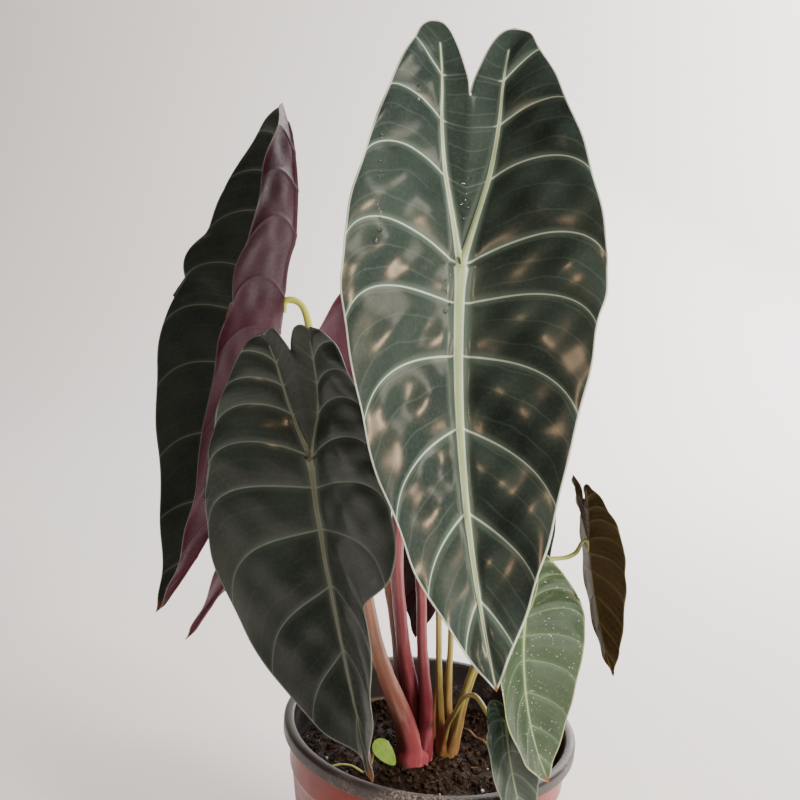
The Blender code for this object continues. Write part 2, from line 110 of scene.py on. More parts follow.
PLAIN = dict(
    curl=0, sweep=0, twist=0, bend=0, lobe_bend=0, taper=0, shoulder=0, spread=1, right=1, rise=6,
    nick=(0, 0, 0), tail=0, cleft=1, soft=0.4, quilt=0.9, wave=0.8, rib=1.0, fine=(20, 26),
    finish="dark",
)
BLADES = {
    "front_large": dict(
        at=(-0.0095, -0.076, 0.2465), heading=3, tilt=25.5, roll=-0.5, tip=0.155, lobe=0.107,
        width=0.0535, fold=35, curl=-8.5, sweep=14, twist=-4, bend=-11, lobe_bend=7, taper=-0.04,
        right=1.06, shoulder=-0.09, spread=0.94, rise=14, quilt=1.5, wave=0.8, rib=2.3,
        fine=(34, 44), soft=1,
    ),
    "front_left": dict(
        at=(-0.0615, -0.06, 0.1635), heading=-33, tilt=1, roll=14, tip=0.1295, lobe=0.052,
        width=0.0455, fold=30, curl=-21, sweep=22, twist=-17, bend=-6, lobe_bend=-16, taper=0.69,
        shoulder=-0.04, spread=0.85, rise=10, quilt=1.0, wave=0.7, rib=1.7, fine=(30, 40),
        cleft=1.3, nick=(1, 3.72, 0.34), tail=0.5, finish="dim",
    ),
    "back_left": dict(
        at=(-0.085, 0.012, 0.2175), heading=-78, tilt=2.5, roll=1, tip=0.16, lobe=0.086,
        width=0.0575, fold=29, curl=17, sweep=4.5, twist=3.5, bend=-33, lobe_bend=-17, taper=0.58,
        right=0.725, shoulder=0.1, rise=22, quilt=0.6, wave=0.8, rib=1.3, fine=(28, 36),
        finish="dim", soft=0.1,
    ),
    "back_middle": dict(
        at=(-0.0425, 0.072, 0.178), heading=-131, tilt=7.5, roll=42, tip=0.164, lobe=0.071,
        width=0.052, fold=6, curl=-10, bend=6, lobe_bend=6, sweep=-9, twist=34, quilt=0.8, rib=1.3,
        finish="dim",
    ),
    "back_low": dict(
        at=(-0.004, 0.044, 0.125), heading=172, tilt=8, roll=4, tip=0.084, lobe=0.032, width=0.024,
        fold=25, bend=8, lobe_bend=8, quilt=0.5, rib=0.8, fine=(12, 16), finish="dim",
    ),
    "young_light": dict(
        at=(0.0305, -0.068, 0.106), heading=35, tilt=9.5, roll=-6, tip=0.076, lobe=0.0265,
        width=0.025, fold=35, curl=-10, sweep=36, twist=3, bend=2, lobe_bend=10, taper=0.15,
        right=1.05, shoulder=-0.1, rise=2, quilt=0.5, wave=0.4, rib=0.75, fine=(22, 28),
        finish="young",
    ),
    "over_rim": dict(
        at=(0.028, -0.064, 0.058), heading=27, tilt=9.5, roll=6.5, tip=0.0585, lobe=0.0105,
        width=0.0155, fold=37, sweep=21, twist=-3, bend=12, lobe_bend=10, quilt=0.3, wave=0.3,
        rib=0.6, fine=(12, 16), finish="grey",
    ),
    "right_small": dict(
        at=(0.0655, 0.0, 0.12), heading=108, tilt=13, roll=0, tip=0.0685, lobe=0.03, width=0.023,
        fold=19, sweep=-15, twist=13, lobe_bend=5, quilt=0.5, wave=0.5, rib=0.6, fine=(14, 18),
        finish="olive",
    ),
    "behind_front": dict(
        at=(0.03, 0.006, 0.15), heading=25, tilt=12, roll=14, tip=0.06, lobe=0.03, width=0.017,
        fold=22, bend=8, lobe_bend=8, quilt=0.4, rib=0.6, fine=(12, 14), finish="grey",
    ),
}


# Where beads of water stand on the largest blade: x and y laid flat, half width and half length.
DROP_RUNS = (
    (-0.024, 0.066, 0.0008, 0.005), (0.0005, 0.032, 0.0008, 0.011), (-0.006, -0.01, 0.001, 0.009),
    (-0.04, 0.018, 0.0007, 0.024),
)


def smooth(values, at, first=0, end=None):
    """A smooth curve through the rows of values, read at the rows in at. end is its last slope."""
    v = np.asarray(values, float)
    m = np.gradient(v, axis=0)
    if end is not None:
        m[-1] = end
    t = np.asarray(at, float) - first
    i = np.clip(np.floor(t).astype(int), 0, len(v) - 2)
    t = t - i
    if v.ndim > 1:
        t = t[..., None]
    near = (2 * t**3 - 3 * t**2 + 1) * v[i] + (t**3 - 2 * t**2 + t) * m[i]
    return near + (3 * t**2 - 2 * t**3) * v[i + 1] + (t**3 - t**2) * m[i + 1]


def sized(b, x, y):
    return np.stack([x * b["width"], np.where(y < 0, y * b["tip"], y * b["lobe"])], -1)


def flat_blade(b, row, u, side):
    """Half a blade laid flat. u is 0 on the rib, 1 on the margin and -1 on the centre line."""
    up = np.maximum(row, JOINT)
    rib_x = np.where(row <= JOINT, 0, smooth(LOBE_RIB_X, up, JOINT) * b["spread"])
    rib_y = np.where(
        row <= JOINT, smooth(RIB, np.minimum(row, JOINT)), smooth(LOBE_RIB_Y, up, JOINT)
    )
    rib = sized(b, rib_x, rib_y)
    m = smooth(MARGIN, row, end=MARGIN_END)
    along = m[..., 1]
    across = m[..., 0] * (1 + 2 * b["taper"] * np.clip(-along, 0, 1) * np.clip(1 + along, 0, 1))
    across = across + b["shoulder"] * np.sin(math.pi * np.clip((row - JOINT) / 4, 0, 1))
    across = across * (1 - b["tail"] * np.exp(-(((along + 0.93) / 0.06) ** 2)))
    bump = np.sin(math.pi * (row % 1)) ** 2 - 0.4
    across = (
        across
        * (1 + 0.012 * b["quilt"] * bump * np.clip(row, 0, 1) * np.clip(TOP - row, 0, 1))
    )
    if b["nick"][0] * side > 0:
        past = row - b["nick"][1]
        bite = np.where(past > 0, np.exp(-((past / 0.20) ** 2)), np.clip(1 + past / 1.9, 0, 1))
        across = across * (1 - b["nick"][2] * bite)
    margin = sized(b, across, along)
    n = smooth(INNER, up, JOINT, INNER_END)
    n[..., 1] *= 1 + (b["cleft"] - 1) * (1 - ((up - JOINT) / (TOP - JOINT)) ** 4)
    inner = sized(b, np.where(up <= SINUS, 0, np.maximum(n[..., 0], 0)) * b["spread"], n[..., 1])
    d = margin - rib
    one = np.ones_like(row)
    p1 = rib + 0.42 * d[..., :1] * np.stack([one, smooth(START, row)], -1)
    p2 = margin - d[..., :1] * np.stack([0.10 * one, -smooth(FINISH, row)], -1)
    w = np.clip(u, 0, 1)[..., None]
    out = (1 - w) ** 3 * rib + 3 * (1 - w) ** 2 * w * p1 + 3 * (1 - w) * w**2 * p2 + w**3 * margin
    return np.where(u[..., None] >= 0, out, rib + (inner - rib) * np.clip(-u, 0, 1)[..., None])


def form_blade(b, flat, side):
    """The flat half blade folded at the rib, arched, swept and twisted, with its face along +Z."""
    x, y = flat[..., 0], flat[..., 1]
    tip, lobe = b["tip"], b["lobe"]
    up = np.clip(y / lobe, 0, 1)
    rib_x = np.interp(up, LOBE_RIB_Y, LOBE_RIB_X) * b["width"] * b["spread"]
    grow = b["right"] if side > 0 else 2 - b["right"]
    ease = SOFT_RIB * b["soft"]
    channel = np.hypot(x, 2 * ease) - 2 * ease
    crest = ((x - rib_x + np.hypot(x - rib_x, ease)) - (np.hypot(rib_x, ease) - rib_x)) / 2
    lobed = np.clip(up / 0.3, 0, 1)
    past = channel + (crest - channel) * lobed
    beyond = past * grow
    within = (x - past) * grow
    end = 1 - 0.5 * np.clip((up - 0.6) / 0.4, 0, 1) ** 2
    a = math.radians(b["fold"]) * end + math.radians(b["curl"]) * x / b["width"] / 2
    across = side * (within + beyond * np.cos(a))
    high = beyond * np.sin(a) - within * np.sin(math.radians(b["rise"]) * end * lobed)
    t = np.clip(-y / tip, 0, None)
    turn = math.radians(b["sweep"]) * t
    reach = t * tip * np.sinc(turn / 2 / math.pi)
    cx = reach * np.sin(turn / 2)
    cy = np.where(y < 0, -reach * np.cos(turn / 2), y)
    across, along = cx + across * np.cos(turn), cy + across * np.sin(turn)
    twist = math.radians(b["twist"]) * t
    across, high = (
        across * np.cos(twist) + high * np.sin(twist),
        high * np.cos(twist) - across * np.sin(twist),
    )
    bend = np.where(along < 0, b["bend"] * t, b["lobe_bend"] * np.clip(along / lobe, 0, None))
    sign = np.where(along < 0, -1.0, 1.0)
    bend = np.radians(bend)
    arc = np.abs(along) * np.sinc(bend / 2 / math.pi)
    y2 = sign * (arc * np.cos(bend / 2) + high * np.sin(bend))
    z2 = -arc * np.sin(bend / 2) + high * np.cos(bend)
    return np.stack([across, y2, z2], -1)


def blade_turn(b):
    roll, tilt, heading = (math.radians(b[k]) for k in ("roll", "tilt", "heading"))
    lean = Matrix.Rotation(math.pi / 2 - tilt, 3, "X")
    return np.array(Matrix.Rotation(heading, 3, "Z") @ lean @ Matrix.Rotation(roll, 3, "Z"))


def spot(p):
    return np.array(p, float) + (0, 0, SOIL_Z)


def linear(code):
    """An sRGB hex colour as linear RGBA."""
    parts = [int(code[i : i + 2], 16) / 255 for i in (0, 2, 4)]
    return (*(c / 12.92 if c <= 0.04045 else ((c + 0.055) / 1.055) ** 2.4 for c in parts), 1.0)


# Kinds of node that are added often, and settings that many of them share.
MATH, RANGE, MIX, NOISE = ("ShaderNode" + kind for kind in ("Math", "MapRange", "Mix", "TexNoise"))
COLOR = {"data_type": "RGBA"}
EASED = {"interpolation_type": "SMOOTHSTEP"}
ADD, SUBTRACT, MULTIPLY, DIVIDE, MAXIMUM, PINGPONG, POWER, SINE = (
    {"operation": name}
    for name in ("ADD", "SUBTRACT", "MULTIPLY", "DIVIDE", "MAXIMUM", "PINGPONG", "POWER", "SINE")
)


def add(tree, kind, settings=None, inputs=None, out=None):
    """Adds a node with its settings, and its inputs as links or values. out picks an output."""
    made = tree.nodes.new(kind)
    for key, value in (settings or {}).items():
        setattr(made, key, value)
    for key, value in (inputs or {}).items():
        if isinstance(value, bpy.types.NodeSocket):
            tree.links.new(value, made.inputs[key])
        else:
            made.inputs[key].default_value = value
    return made if out is None else made.outputs[out]


def placed(name, data):
    """A new object, in the scene."""
    made = bpy.data.objects.new(name, data)
    bpy.context.scene.collection.objects.link(made)
    return made


def new_material(name):
    made = bpy.data.materials.new(name)
    made.use_nodes = True
    made.node_tree.nodes.clear()
    return made, made.node_tree


def leaf_material(name, c, gloss, thin):
    """Fresh alocasia leaf, cuticle as grown. A waxy skin over soft tissue: deep colour under a
    broad, low gloss that the quilted panels break up, with pale veins that shine like silver."""
    made, tree = new_material(name)
    row, pitch, rib = add(
        tree, "ShaderNodeSeparateXYZ",
        inputs={0: add(tree, "ShaderNodeAttribute", {"attribute_name": "veins"}, out="Vector")},
    ).outputs
    reach, edge, signed = add(
        tree, "ShaderNodeSeparateXYZ",
        inputs={0: add(tree, "ShaderNodeAttribute", {"attribute_name": "place"}, out="Vector")},
    ).outputs
    flat = add(tree, "ShaderNodeAttribute", {"attribute_name": "flat"}, out="Vector")
    spots = add(tree, "ShaderNodeTexCoord", out="Object")
    # Side veins at the whole rows, in millimetres from their middle.
    real = add(
        tree, MATH, MULTIPLY,
        {
            0: add(tree, RANGE, EASED, {0: row, 1: 0.35, 2: 0.8}, 0),
            1: add(tree, RANGE, EASED, {0: row, 1: 9.6, 2: 9.1}, 0),
        },
        0,
    )
    real = add(
        tree, MATH, MULTIPLY,
        {0: real, 1: add(tree, RANGE, EASED, {0: signed, 1: -0.25, 2: -0.02, 3: 0.12, 4: 1.0}, 0)},
        0,
    )
    away = add(
        tree, MATH, MULTIPLY, {0: add(tree, MATH, PINGPONG, {0: row, 1: 0.5}, 0), 1: pitch}, 0
    )
    wide = add(tree, RANGE, EASED, {0: reach, 1: 0.0, 2: 1.0, 3: 1.0, 4: 0.38}, 0)
    core = add(
        tree, MATH, MULTIPLY,
        {
            0: add(
                tree, RANGE, EASED,
                {0: add(tree, MATH, DIVIDE, {0: away, 1: wide}, 0), 1: 0.6, 2: 0.18}, 0,
            ),
            1: real,
        },
        0,
    )
    halo = add(
        tree, MATH, MULTIPLY,
        {
            0: add(
                tree, RANGE, EASED,
                {0: add(tree, MATH, DIVIDE, {0: away, 1: wide}, 0), 1: 3.6, 2: 0.0}, 0,
            ),
            1: real,
        },
        0,
    )
    halo = add(tree, MATH, MULTIPLY, {0: halo, 1: c["halo"]}, 0)
    # Fainter veins between them, and the fine net.
    wobble = add(tree, NOISE, inputs={"Vector": flat, "Scale": 60.0, "Detail": 2.0})
    drift = add(
        tree, MATH, ADD,
        {0: row, 1: add(tree, MATH, MULTIPLY, {0: wobble.outputs["Fac"], 1: 0.16}, 0)}, 0,
    )
    small = add(
        tree, MATH, PINGPONG, {0: add(tree, MATH, MULTIPLY, {0: drift, 1: 3.0}, 0), 1: 0.5}, 0
    )
    small = add(
        tree, MATH, MULTIPLY, {0: small, 1: add(tree, MATH, DIVIDE, {0: pitch, 1: 3.0}, 0)}, 0
    )
    small = add(
        tree, MATH, MULTIPLY,
        {
            0: add(tree, RANGE, EASED, {0: small, 1: 0.6, 2: 0.1}, 0),
            1: add(tree, RANGE, EASED, {0: reach, 1: 0.02, 2: 0.3}, 0),
        },
        0,
    )
    net = add(
        tree, "ShaderNodeTexVoronoi", {"feature": "DISTANCE_TO_EDGE"},
        {"Vector": flat, "Scale": 300.0},
    )
    net = add(tree, RANGE, EASED, {0: net.outputs["Distance"], 1: 0.16, 2: 0.0}, 0)
    ribs = add(tree, RANGE, EASED, {0: rib, 1: 1.02, 2: 0.82}, 0)
    ribs_halo = add(
        tree, MATH, MULTIPLY,
        {0: add(tree, RANGE, EASED, {0: rib, 1: 3.6, 2: 0.9}, 0), 1: c["halo"]}, 0,
    )
    border = add(tree, RANGE, EASED, {0: edge, 1: 0.75, 2: 0.3}, 0)
    # The blade between the veins: slow blotches over a finer fleck.
    broad = add(tree, NOISE, inputs={"Vector": flat, "Scale": 26.0, "Detail": 4.0})
    fleck = add(tree, NOISE, inputs={"Vector": flat, "Scale": 700.0, "Detail": 2.0})
    body = add(
        tree, MIX, COLOR,
        {
            0: add(tree, RANGE, EASED, {0: broad.outputs["Fac"], 1: 0.3, 2: 0.7}, 0),
            6: linear(c["deep"]), 7: linear(c["body"]),
        },
        2,
    )
    for amount, tone in (
        (
            add(tree, RANGE, EASED, {0: fleck.outputs["Fac"], 1: 0.45, 2: 0.8, 3: 0.0, 4: 0.35}, 0),
            c["fleck"],
        ),
        (add(tree, MATH, MULTIPLY, {0: net, 1: c["net"]}, 0), c["halo_color"]),
        (add(tree, MATH, MULTIPLY, {0: small, 1: c["minor"]}, 0), c["halo_color"]),
        (add(tree, MATH, MAXIMUM, {0: halo, 1: ribs_halo}, 0), c["halo_color"]),
        (add(tree, MATH, MULTIPLY, {0: core, 1: c["main"]}, 0), c["vein"]),
        (add(tree, MATH, MULTIPLY, {0: ribs, 1: c["main_rib"]}, 0), c["rib"]),
        (add(tree, RANGE, EASED, {0: rib, 1: 0.95, 2: 0.35, 3: 0.0, 4: 0.85}, 0), c["rib_top"]),
        (add(tree, MATH, MULTIPLY, {0: border, 1: c["border"]}, 0), c["margin"]),
        (add(tree, RANGE, EASED, {0: row, 1: c["dry"], 2: c["dry"] * 0.4}, 0), DRY_TIP),
    ):
        body = add(tree, MIX, COLOR, {0: amount, 6: body, 7: linear(tone)}, 2)
    # Skin: cells too fine to see one by one are drawn as a 0.5 mm grain, over wrinkles 4 mm long.
    stretch = add(
        tree, "ShaderNodeMapping", inputs={"Vector": flat, "Scale": (220.0, 520.0, 220.0)}, out=0
    )
    wrinkle = add(tree, NOISE, inputs={"Vector": stretch, "Scale": 1.0, "Detail": 3.0})
    grain = add(tree, NOISE, inputs={"Vector": spots, "Scale": 2000.0, "Detail": 1.0})
    high = add(
        tree, MATH, ADD,
        {
            0: wrinkle.outputs["Fac"],
            1: add(tree, MATH, MULTIPLY, {0: grain.outputs["Fac"], 1: 0.25}, 0),
        },
        0,
    )
    high = add(
        tree, MATH, SUBTRACT, {0: high, 1: add(tree, MATH, MULTIPLY, {0: net, 1: 0.08}, 0)}, 0
    )
    high = add(
        tree, MATH, SUBTRACT, {0: high, 1: add(tree, MATH, MULTIPLY, {0: small, 1: 0.25}, 0)}, 0
    )
    bump = add(
        tree, "ShaderNodeBump", inputs={"Height": high, "Strength": 0.32, "Distance": 0.0003}, out=0
    )
    rough = add(
        tree, RANGE, EASED,
        {0: wrinkle.outputs["Fac"], 1: 0.3, 2: 0.75, 3: gloss - 0.06, 4: gloss + 0.08}, 0,
    )
    rough = add(
        tree, MATH, ADD,
        {
            0: rough,
            1: add(
                tree, MATH, MULTIPLY, {0: add(tree, MATH, MAXIMUM, {0: core, 1: ribs}, 0), 1: 0.12},
                0,
            ),
        },
        0,
    )
    skin = add(
        tree, "ShaderNodeBsdfPrincipled",
        inputs={
            "Base Color": body, "Roughness": rough, "Normal": bump, "IOR": 1.45,
            "Specular IOR Level": c.get("shine", 0.13), "Coat Weight": c.get("coat", 0.5),
            "Coat Roughness": 0.22,
        },
        out=0,
    )
    glow = add(
        tree, "ShaderNodeBsdfTranslucent",
        inputs={"Color": add(tree, MIX, COLOR, {0: 0.6, 6: body, 7: linear(c["glow"])}, 2)}, out=0,
    )
    add(
        tree, "ShaderNodeOutputMaterial",
        inputs={
            "Surface": add(tree, "ShaderNodeMixShader", inputs={0: thin, 1: skin, 2: glow}, out=0)
        },
    )
    return made


LEAF_FACES = {
    "dark": dict(
        deep="202b29", body="2f3c38", fleck="3b4a44", halo_color="64786f", vein="b4c4b9",
        rib="b2c3b6", rib_top="8aa06e", margin="c8d4ca", glow="2e3c33", halo=0.4, net=0.025,
        minor=0.12, main=0.66, main_rib=0.95, border=0.7, dry=0.12,
    ),
    # This finish is the dark skin with its veins, rib, margin and vein halo dimmed: painted shade
    # for the blades that stand in the shade of the others. Its dry tip reaches further.
    "dim": dict(
        deep="212a27", body="303b37", fleck="3c4743", halo_color="53615a", vein="84958b",
        rib="78837a", rib_top="626a56", margin="7c8980", glow="263029", halo=0.3, net=0.03,
        minor=0.08, main=0.4, main_rib=0.75, border=0.45, dry=0.35,
    ),
    "grey": dict(
        deep="1e2922", body="29362d", fleck="344238", halo_color="4a5b50", vein="6a7c6e",
        rib="78896f", rib_top="667a52", margin="7c8d7a", glow="4a6a2c", halo=0.3, net=0.06,
        minor=0.12, main=0.4, main_rib=0.6, border=0.4, dry=0.2,
    ),
    "olive": dict(
        deep="2c3320", body="3d4429", fleck="4a5133", halo_color="6d7550", vein="8c9170",
        rib="9aa070", rib_top="7c8440", margin="8a9070", glow="6a7a20", halo=0.3, net=0.08,
        minor=0.12, main=0.4, main_rib=0.6, border=0.3, dry=0.2,
    ),
    "young": dict(
        deep="303f2f", body="3c4d39", fleck="485945", halo_color="5c7659", vein="7d947a",
        rib="9db08c", rib_top="86a060", margin="b4bd8c", glow="86ad34", halo=0.25, net=0.08,
        minor=0.1, main=0.38, main_rib=0.55, border=0.6, dry=0.5,
    ),
}
DRY_TIP = "6b4a2c"
# Undersides are rougher by BACK_ROUGHER. The young and olive blades let through THINNER times the
# light.
BACK_ROUGHER = 0.06
THINNER = 4
LEAF_BACKS = {
    "dark": dict(
        deep="2a131b", body="3c1d28", fleck="482832", halo_color="30161f", vein="4c2c36",
        rib="5a3a3e", rib_top="5e3a3a", margin="644850", glow="6a2030", halo=0.2, net=0.12,
        minor=0.2, main=0.35, main_rib=0.55, border=0.35, dry=0.12, coat=0.12, shine=0.08,
    ),
    "olive": dict(
        deep="33271c", body="4b3b2b", fleck="58492f", halo_color="5f5138", vein="7d6c4e",
        rib="86744e", rib_top="7a6a40", margin="6f6a4a", glow="7a7a20", halo=0.25, net=0.2,
        minor=0.3, main=0.5, main_rib=0.6, border=0.4, dry=0.2, coat=0.12, shine=0.08,
    ),
    "young": dict(
        deep="5f7652", body="71895f", fleck="7f966c", halo_color="90a87c", vein="a9bd90",
        rib="b5c490", rib_top="a6ba78", margin="cbb0a6", glow="9fc23c", halo=0.3, net=0.1,
        minor=0.2, main=0.6, main_rib=0.8, border=0.6, dry=0.5,
    ),
}


def half_rows(low, high, per):
    """Rows from low to high, per of them to a whole row and closer together beside each vein."""
    count = int(round((high - low) * per))
    rows = np.linspace(low, high, count + 1)
    return rows - 0.07 * np.sin(2 * math.pi * rows)


def distances(points, line):
    tree = KDTree(len(line))
    for i, p in enumerate(line):
        tree.insert((p[0], p[1], 0.0), i)
    tree.balance()
    return np.array([tree.find((p[0], p[1], 0.0))[2] for p in points])


def blade_piece(name, b):
    """One blade as a closed skin: quilted between its veins, ribbed below, thin at its margin."""
    per, columns = b["fine"]
    patches = (
        (half_rows(0, JOINT, per), np.linspace(0, 1, columns + 1) ** 0.92),
        (
            half_rows(JOINT, TOP, per),
            np.concatenate([-np.linspace(1, 0, 9)[:-1], np.linspace(0, 1, columns + 1) ** 0.92]),
        ),
    )
    points, flats, fields, rings, base = [], [], [], [], 0
    for side in (1, -1):
        for rows, across in patches:
            row, u = np.meshgrid(rows, across, indexing="ij")
            flat = flat_blade(b, row, u, side)
            d_row = np.gradient(flat, rows, axis=0)
            d_u = np.gradient(flat, across, axis=1)
            cross = np.abs(d_row[..., 0] * d_u[..., 1] - d_row[..., 1] * d_u[..., 0])
            pitch = cross / np.maximum(np.linalg.norm(d_u, axis=-1), 1e-6)
            points.append(form_blade(b, flat, side).reshape(-1, 3))
            flats.append(np.column_stack([flat[..., 0].ravel() * side, flat[..., 1].ravel()]))
            fields.append(np.column_stack([row.ravel(), u.ravel(), pitch.ravel()]))
            n = np.arange(row.size).reshape(row.shape) + base
            quads = np.stack([n[:-1, :-1], n[:-1, 1:], n[1:, 1:], n[1:, :-1]], -1).reshape(-1, 4)
            rings.append(quads if side > 0 else quads[:, ::-1])
            base += row.size
    points, flats, fields, rings = (np.concatenate(x) for x in (points, flats, fields, rings))
    key = np.round(flats / 2e-7).astype(np.int64)
    _, first, index = np.unique(key, axis=0, return_index=True, return_inverse=True)
    points, flats, fields, rings = (
        points[first], flats[first], fields[first], index.reshape(-1)[rings]
    )
    row, u, pitch = fields.T
    half = np.abs(flats[:, 0])
    mid = np.column_stack([np.zeros(900), np.linspace(-b["tip"], 0, 900)])
    lobe_rows = np.linspace(JOINT, 9.6, 500)
    zero = np.zeros(500)
    ribs = np.concatenate([mid, flat_blade(b, lobe_rows, zero, 1)])
    all_rows = np.linspace(0, TOP, 2400)
    sinus = np.linspace(SINUS, TOP, 300)
    folded = np.column_stack([half, flats[:, 1]])
    d_rib = distances(folded, ribs)
    d_edge = np.empty(len(half))
    for side in (1, -1):
        outline = np.concatenate([
            flat_blade(b, all_rows, np.ones(2400), side), flat_blade(b, sinus, -np.ones(300), side)
        ])
        mine = (flats[:, 0] * side >= 0)
        d_edge[mine] = distances(folded[mine], outline)
    rib_wide = b["rib"] * MM * np.where(
        flats[:, 1] < 0, np.clip(1 + flats[:, 1] / b["tip"], 0, 1) ** 0.7,
        0.62 * np.clip(1 - 0.85 * flats[:, 1] / b["lobe"], 0.1, 1),
    )
    rib_wide = rib_wide * (1 + 0.35 * np.exp(-((flats[:, 1] / 0.006) ** 2)))
    rib_wide = np.maximum(rib_wide, 0.25 * MM)

    # Relief, in metres along the upper face.
    level = np.abs(row - np.round(row)) * pitch
    real = np.clip((row - 0.3) / 0.5, 0, 1) * np.clip((9.7 - row) / 0.5, 0, 1)
    panel = np.sin(math.pi * (row % 1)) ** 0.8 * np.sin(math.pi * np.clip(u, 0, 1) ** 0.75) ** 0.8
    rng = np.random.default_rng(len(name))
    ripple = np.zeros(len(u))
    for _ in range(7):
        kx, ky, phase = (
            rng.uniform(90, 330), rng.uniform(90, 330) * rng.choice([-1, 1]), rng.uniform(0, 6.3)
        )
        ripple += np.sin(kx * flats[:, 0] + ky * flats[:, 1] + phase) / 7
    height = b["quilt"] * MM * panel * real * (1 + 0.9 * ripple)
    height += 0.25 * MM * ripple * b["quilt"] * np.clip(d_rib / 0.004, 0, 1)
    height += (
        b["wave"]
        * MM
        * (np.clip(1 - d_edge / 0.012, 0, 1) ** 2)
        * np.sin(4.3 * row + 2 * np.sign(flats[:, 0]) + len(name))
    )
    dome = np.sqrt(np.clip(1 - (d_rib / (1.05 * rib_wide)) ** 2, 0, 1))
    knot = np.exp(-((half / 0.0030) ** 2) - (((flats[:, 1] - 0.0005) / 0.0032) ** 2))
    height += (
        (0.48 * rib_wide + 0.4 * MM * b["rib"] * knot) * dome
        - (
            0.2
            * MM
            * b["rib"]
            * np.clip(rib_wide / MM - 0.4, 0, 1)
            * np.exp(-((d_rib - 1.6 * rib_wide) / rib_wide) ** 2)
        )
    )
    height *= np.clip((TOP - row) / 0.5, 0, 1) * np.clip(row / 0.4, 0, 1)
    corner = points[rings]
    face_normal = np.cross(corner[:, 2] - corner[:, 0], corner[:, 3] - corner[:, 1])
    normal = np.zeros_like(points)
    for k in range(4):
        np.add.at(normal, rings[:, k], face_normal)
    normal /= np.maximum(np.linalg.norm(normal, axis=1, keepdims=True), 1e-12)
    upper = points + normal * height[:, None]
    thick = (0.28 + 0.30 * np.clip(d_edge / 0.004, 0, 1)) * MM
    ridge = np.exp(-((d_rib / (1.15 * rib_wide)) ** 2)) * np.clip(d_edge / 0.003, 0, 1)
    thick += 0.9 * MM * b["rib"] * ridge * np.clip((TOP - row) / 0.6, 0, 1)
    vein = np.exp(-((level / (0.8 * MM)) ** 2)) * real * (1 - 0.6 * np.clip(np.abs(u), 0, 1))
    thick += 0.22 * MM * b["rib"] ** 0.5 * vein
    lower = upper - normal * thick[:, None]

    both = np.concatenate([upper, lower])
    count = len(upper)
    ends = np.concatenate([rings[:, [0, 1]], rings[:, [1, 2]], rings[:, [2, 3]], rings[:, [3, 0]]])
    ends = ends[ends[:, 0] != ends[:, 1]]
    _, where, times = np.unique(
        np.sort(ends, axis=1), axis=0, return_index=True, return_counts=True
    )
    border = ends[where[times == 1]]
    faces = [tuple(dict.fromkeys(r)) for r in rings.tolist()]
    faces = [f for f in faces if len(f) > 2]
    backs = [tuple(i + count for i in reversed(f)) for f in faces]
    walls = [(b1, a1, a1 + count, b1 + count) for a1, b1 in border.tolist()]
    turn = blade_turn(b)
    both = both @ turn.T + spot(b["at"])
    mesh = bpy.data.meshes.new(name)
    mesh.from_pydata(both.tolist(), [], faces + backs + walls)
    mesh.polygons.foreach_set(
        "material_index", [0] * len(faces) + [1] * len(backs) + [0] * len(walls)
    )
    for key, columns in (
        ("veins", (row, pitch / MM, d_rib / rib_wide)),
        ("place", (np.abs(u), d_edge / MM, u)),
        ("flat", (flats[:, 0], flats[:, 1], np.zeros(count))),
    ):
        data = mesh.attributes.new(key, "FLOAT_VECTOR", "POINT").data
        data.foreach_set(
            "vector", np.tile(np.column_stack(columns), (2, 1)).astype(np.float32).ravel()
        )
    mesh.validate()
    mesh.shade_smooth()
    return placed(name, mesh)


def plain_mesh(obj, name):
    """The object as evaluated, as a plain mesh object at the origin."""
    graph = bpy.context.evaluated_depsgraph_get()
    mesh = bpy.data.meshes.new_from_object(obj.evaluated_get(graph), depsgraph=graph)
    mesh.transform(obj.matrix_world)
    made = placed(name, mesh)
    bpy.data.objects.remove(obj, do_unlink=True)
    return made


def keep(obj, slot=None, *nodes):
    """Hangs a finished piece under the root empty and hides the solid parts it stands for."""
    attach(obj, "root")
    if nodes:
        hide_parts(*nodes)
    return obj


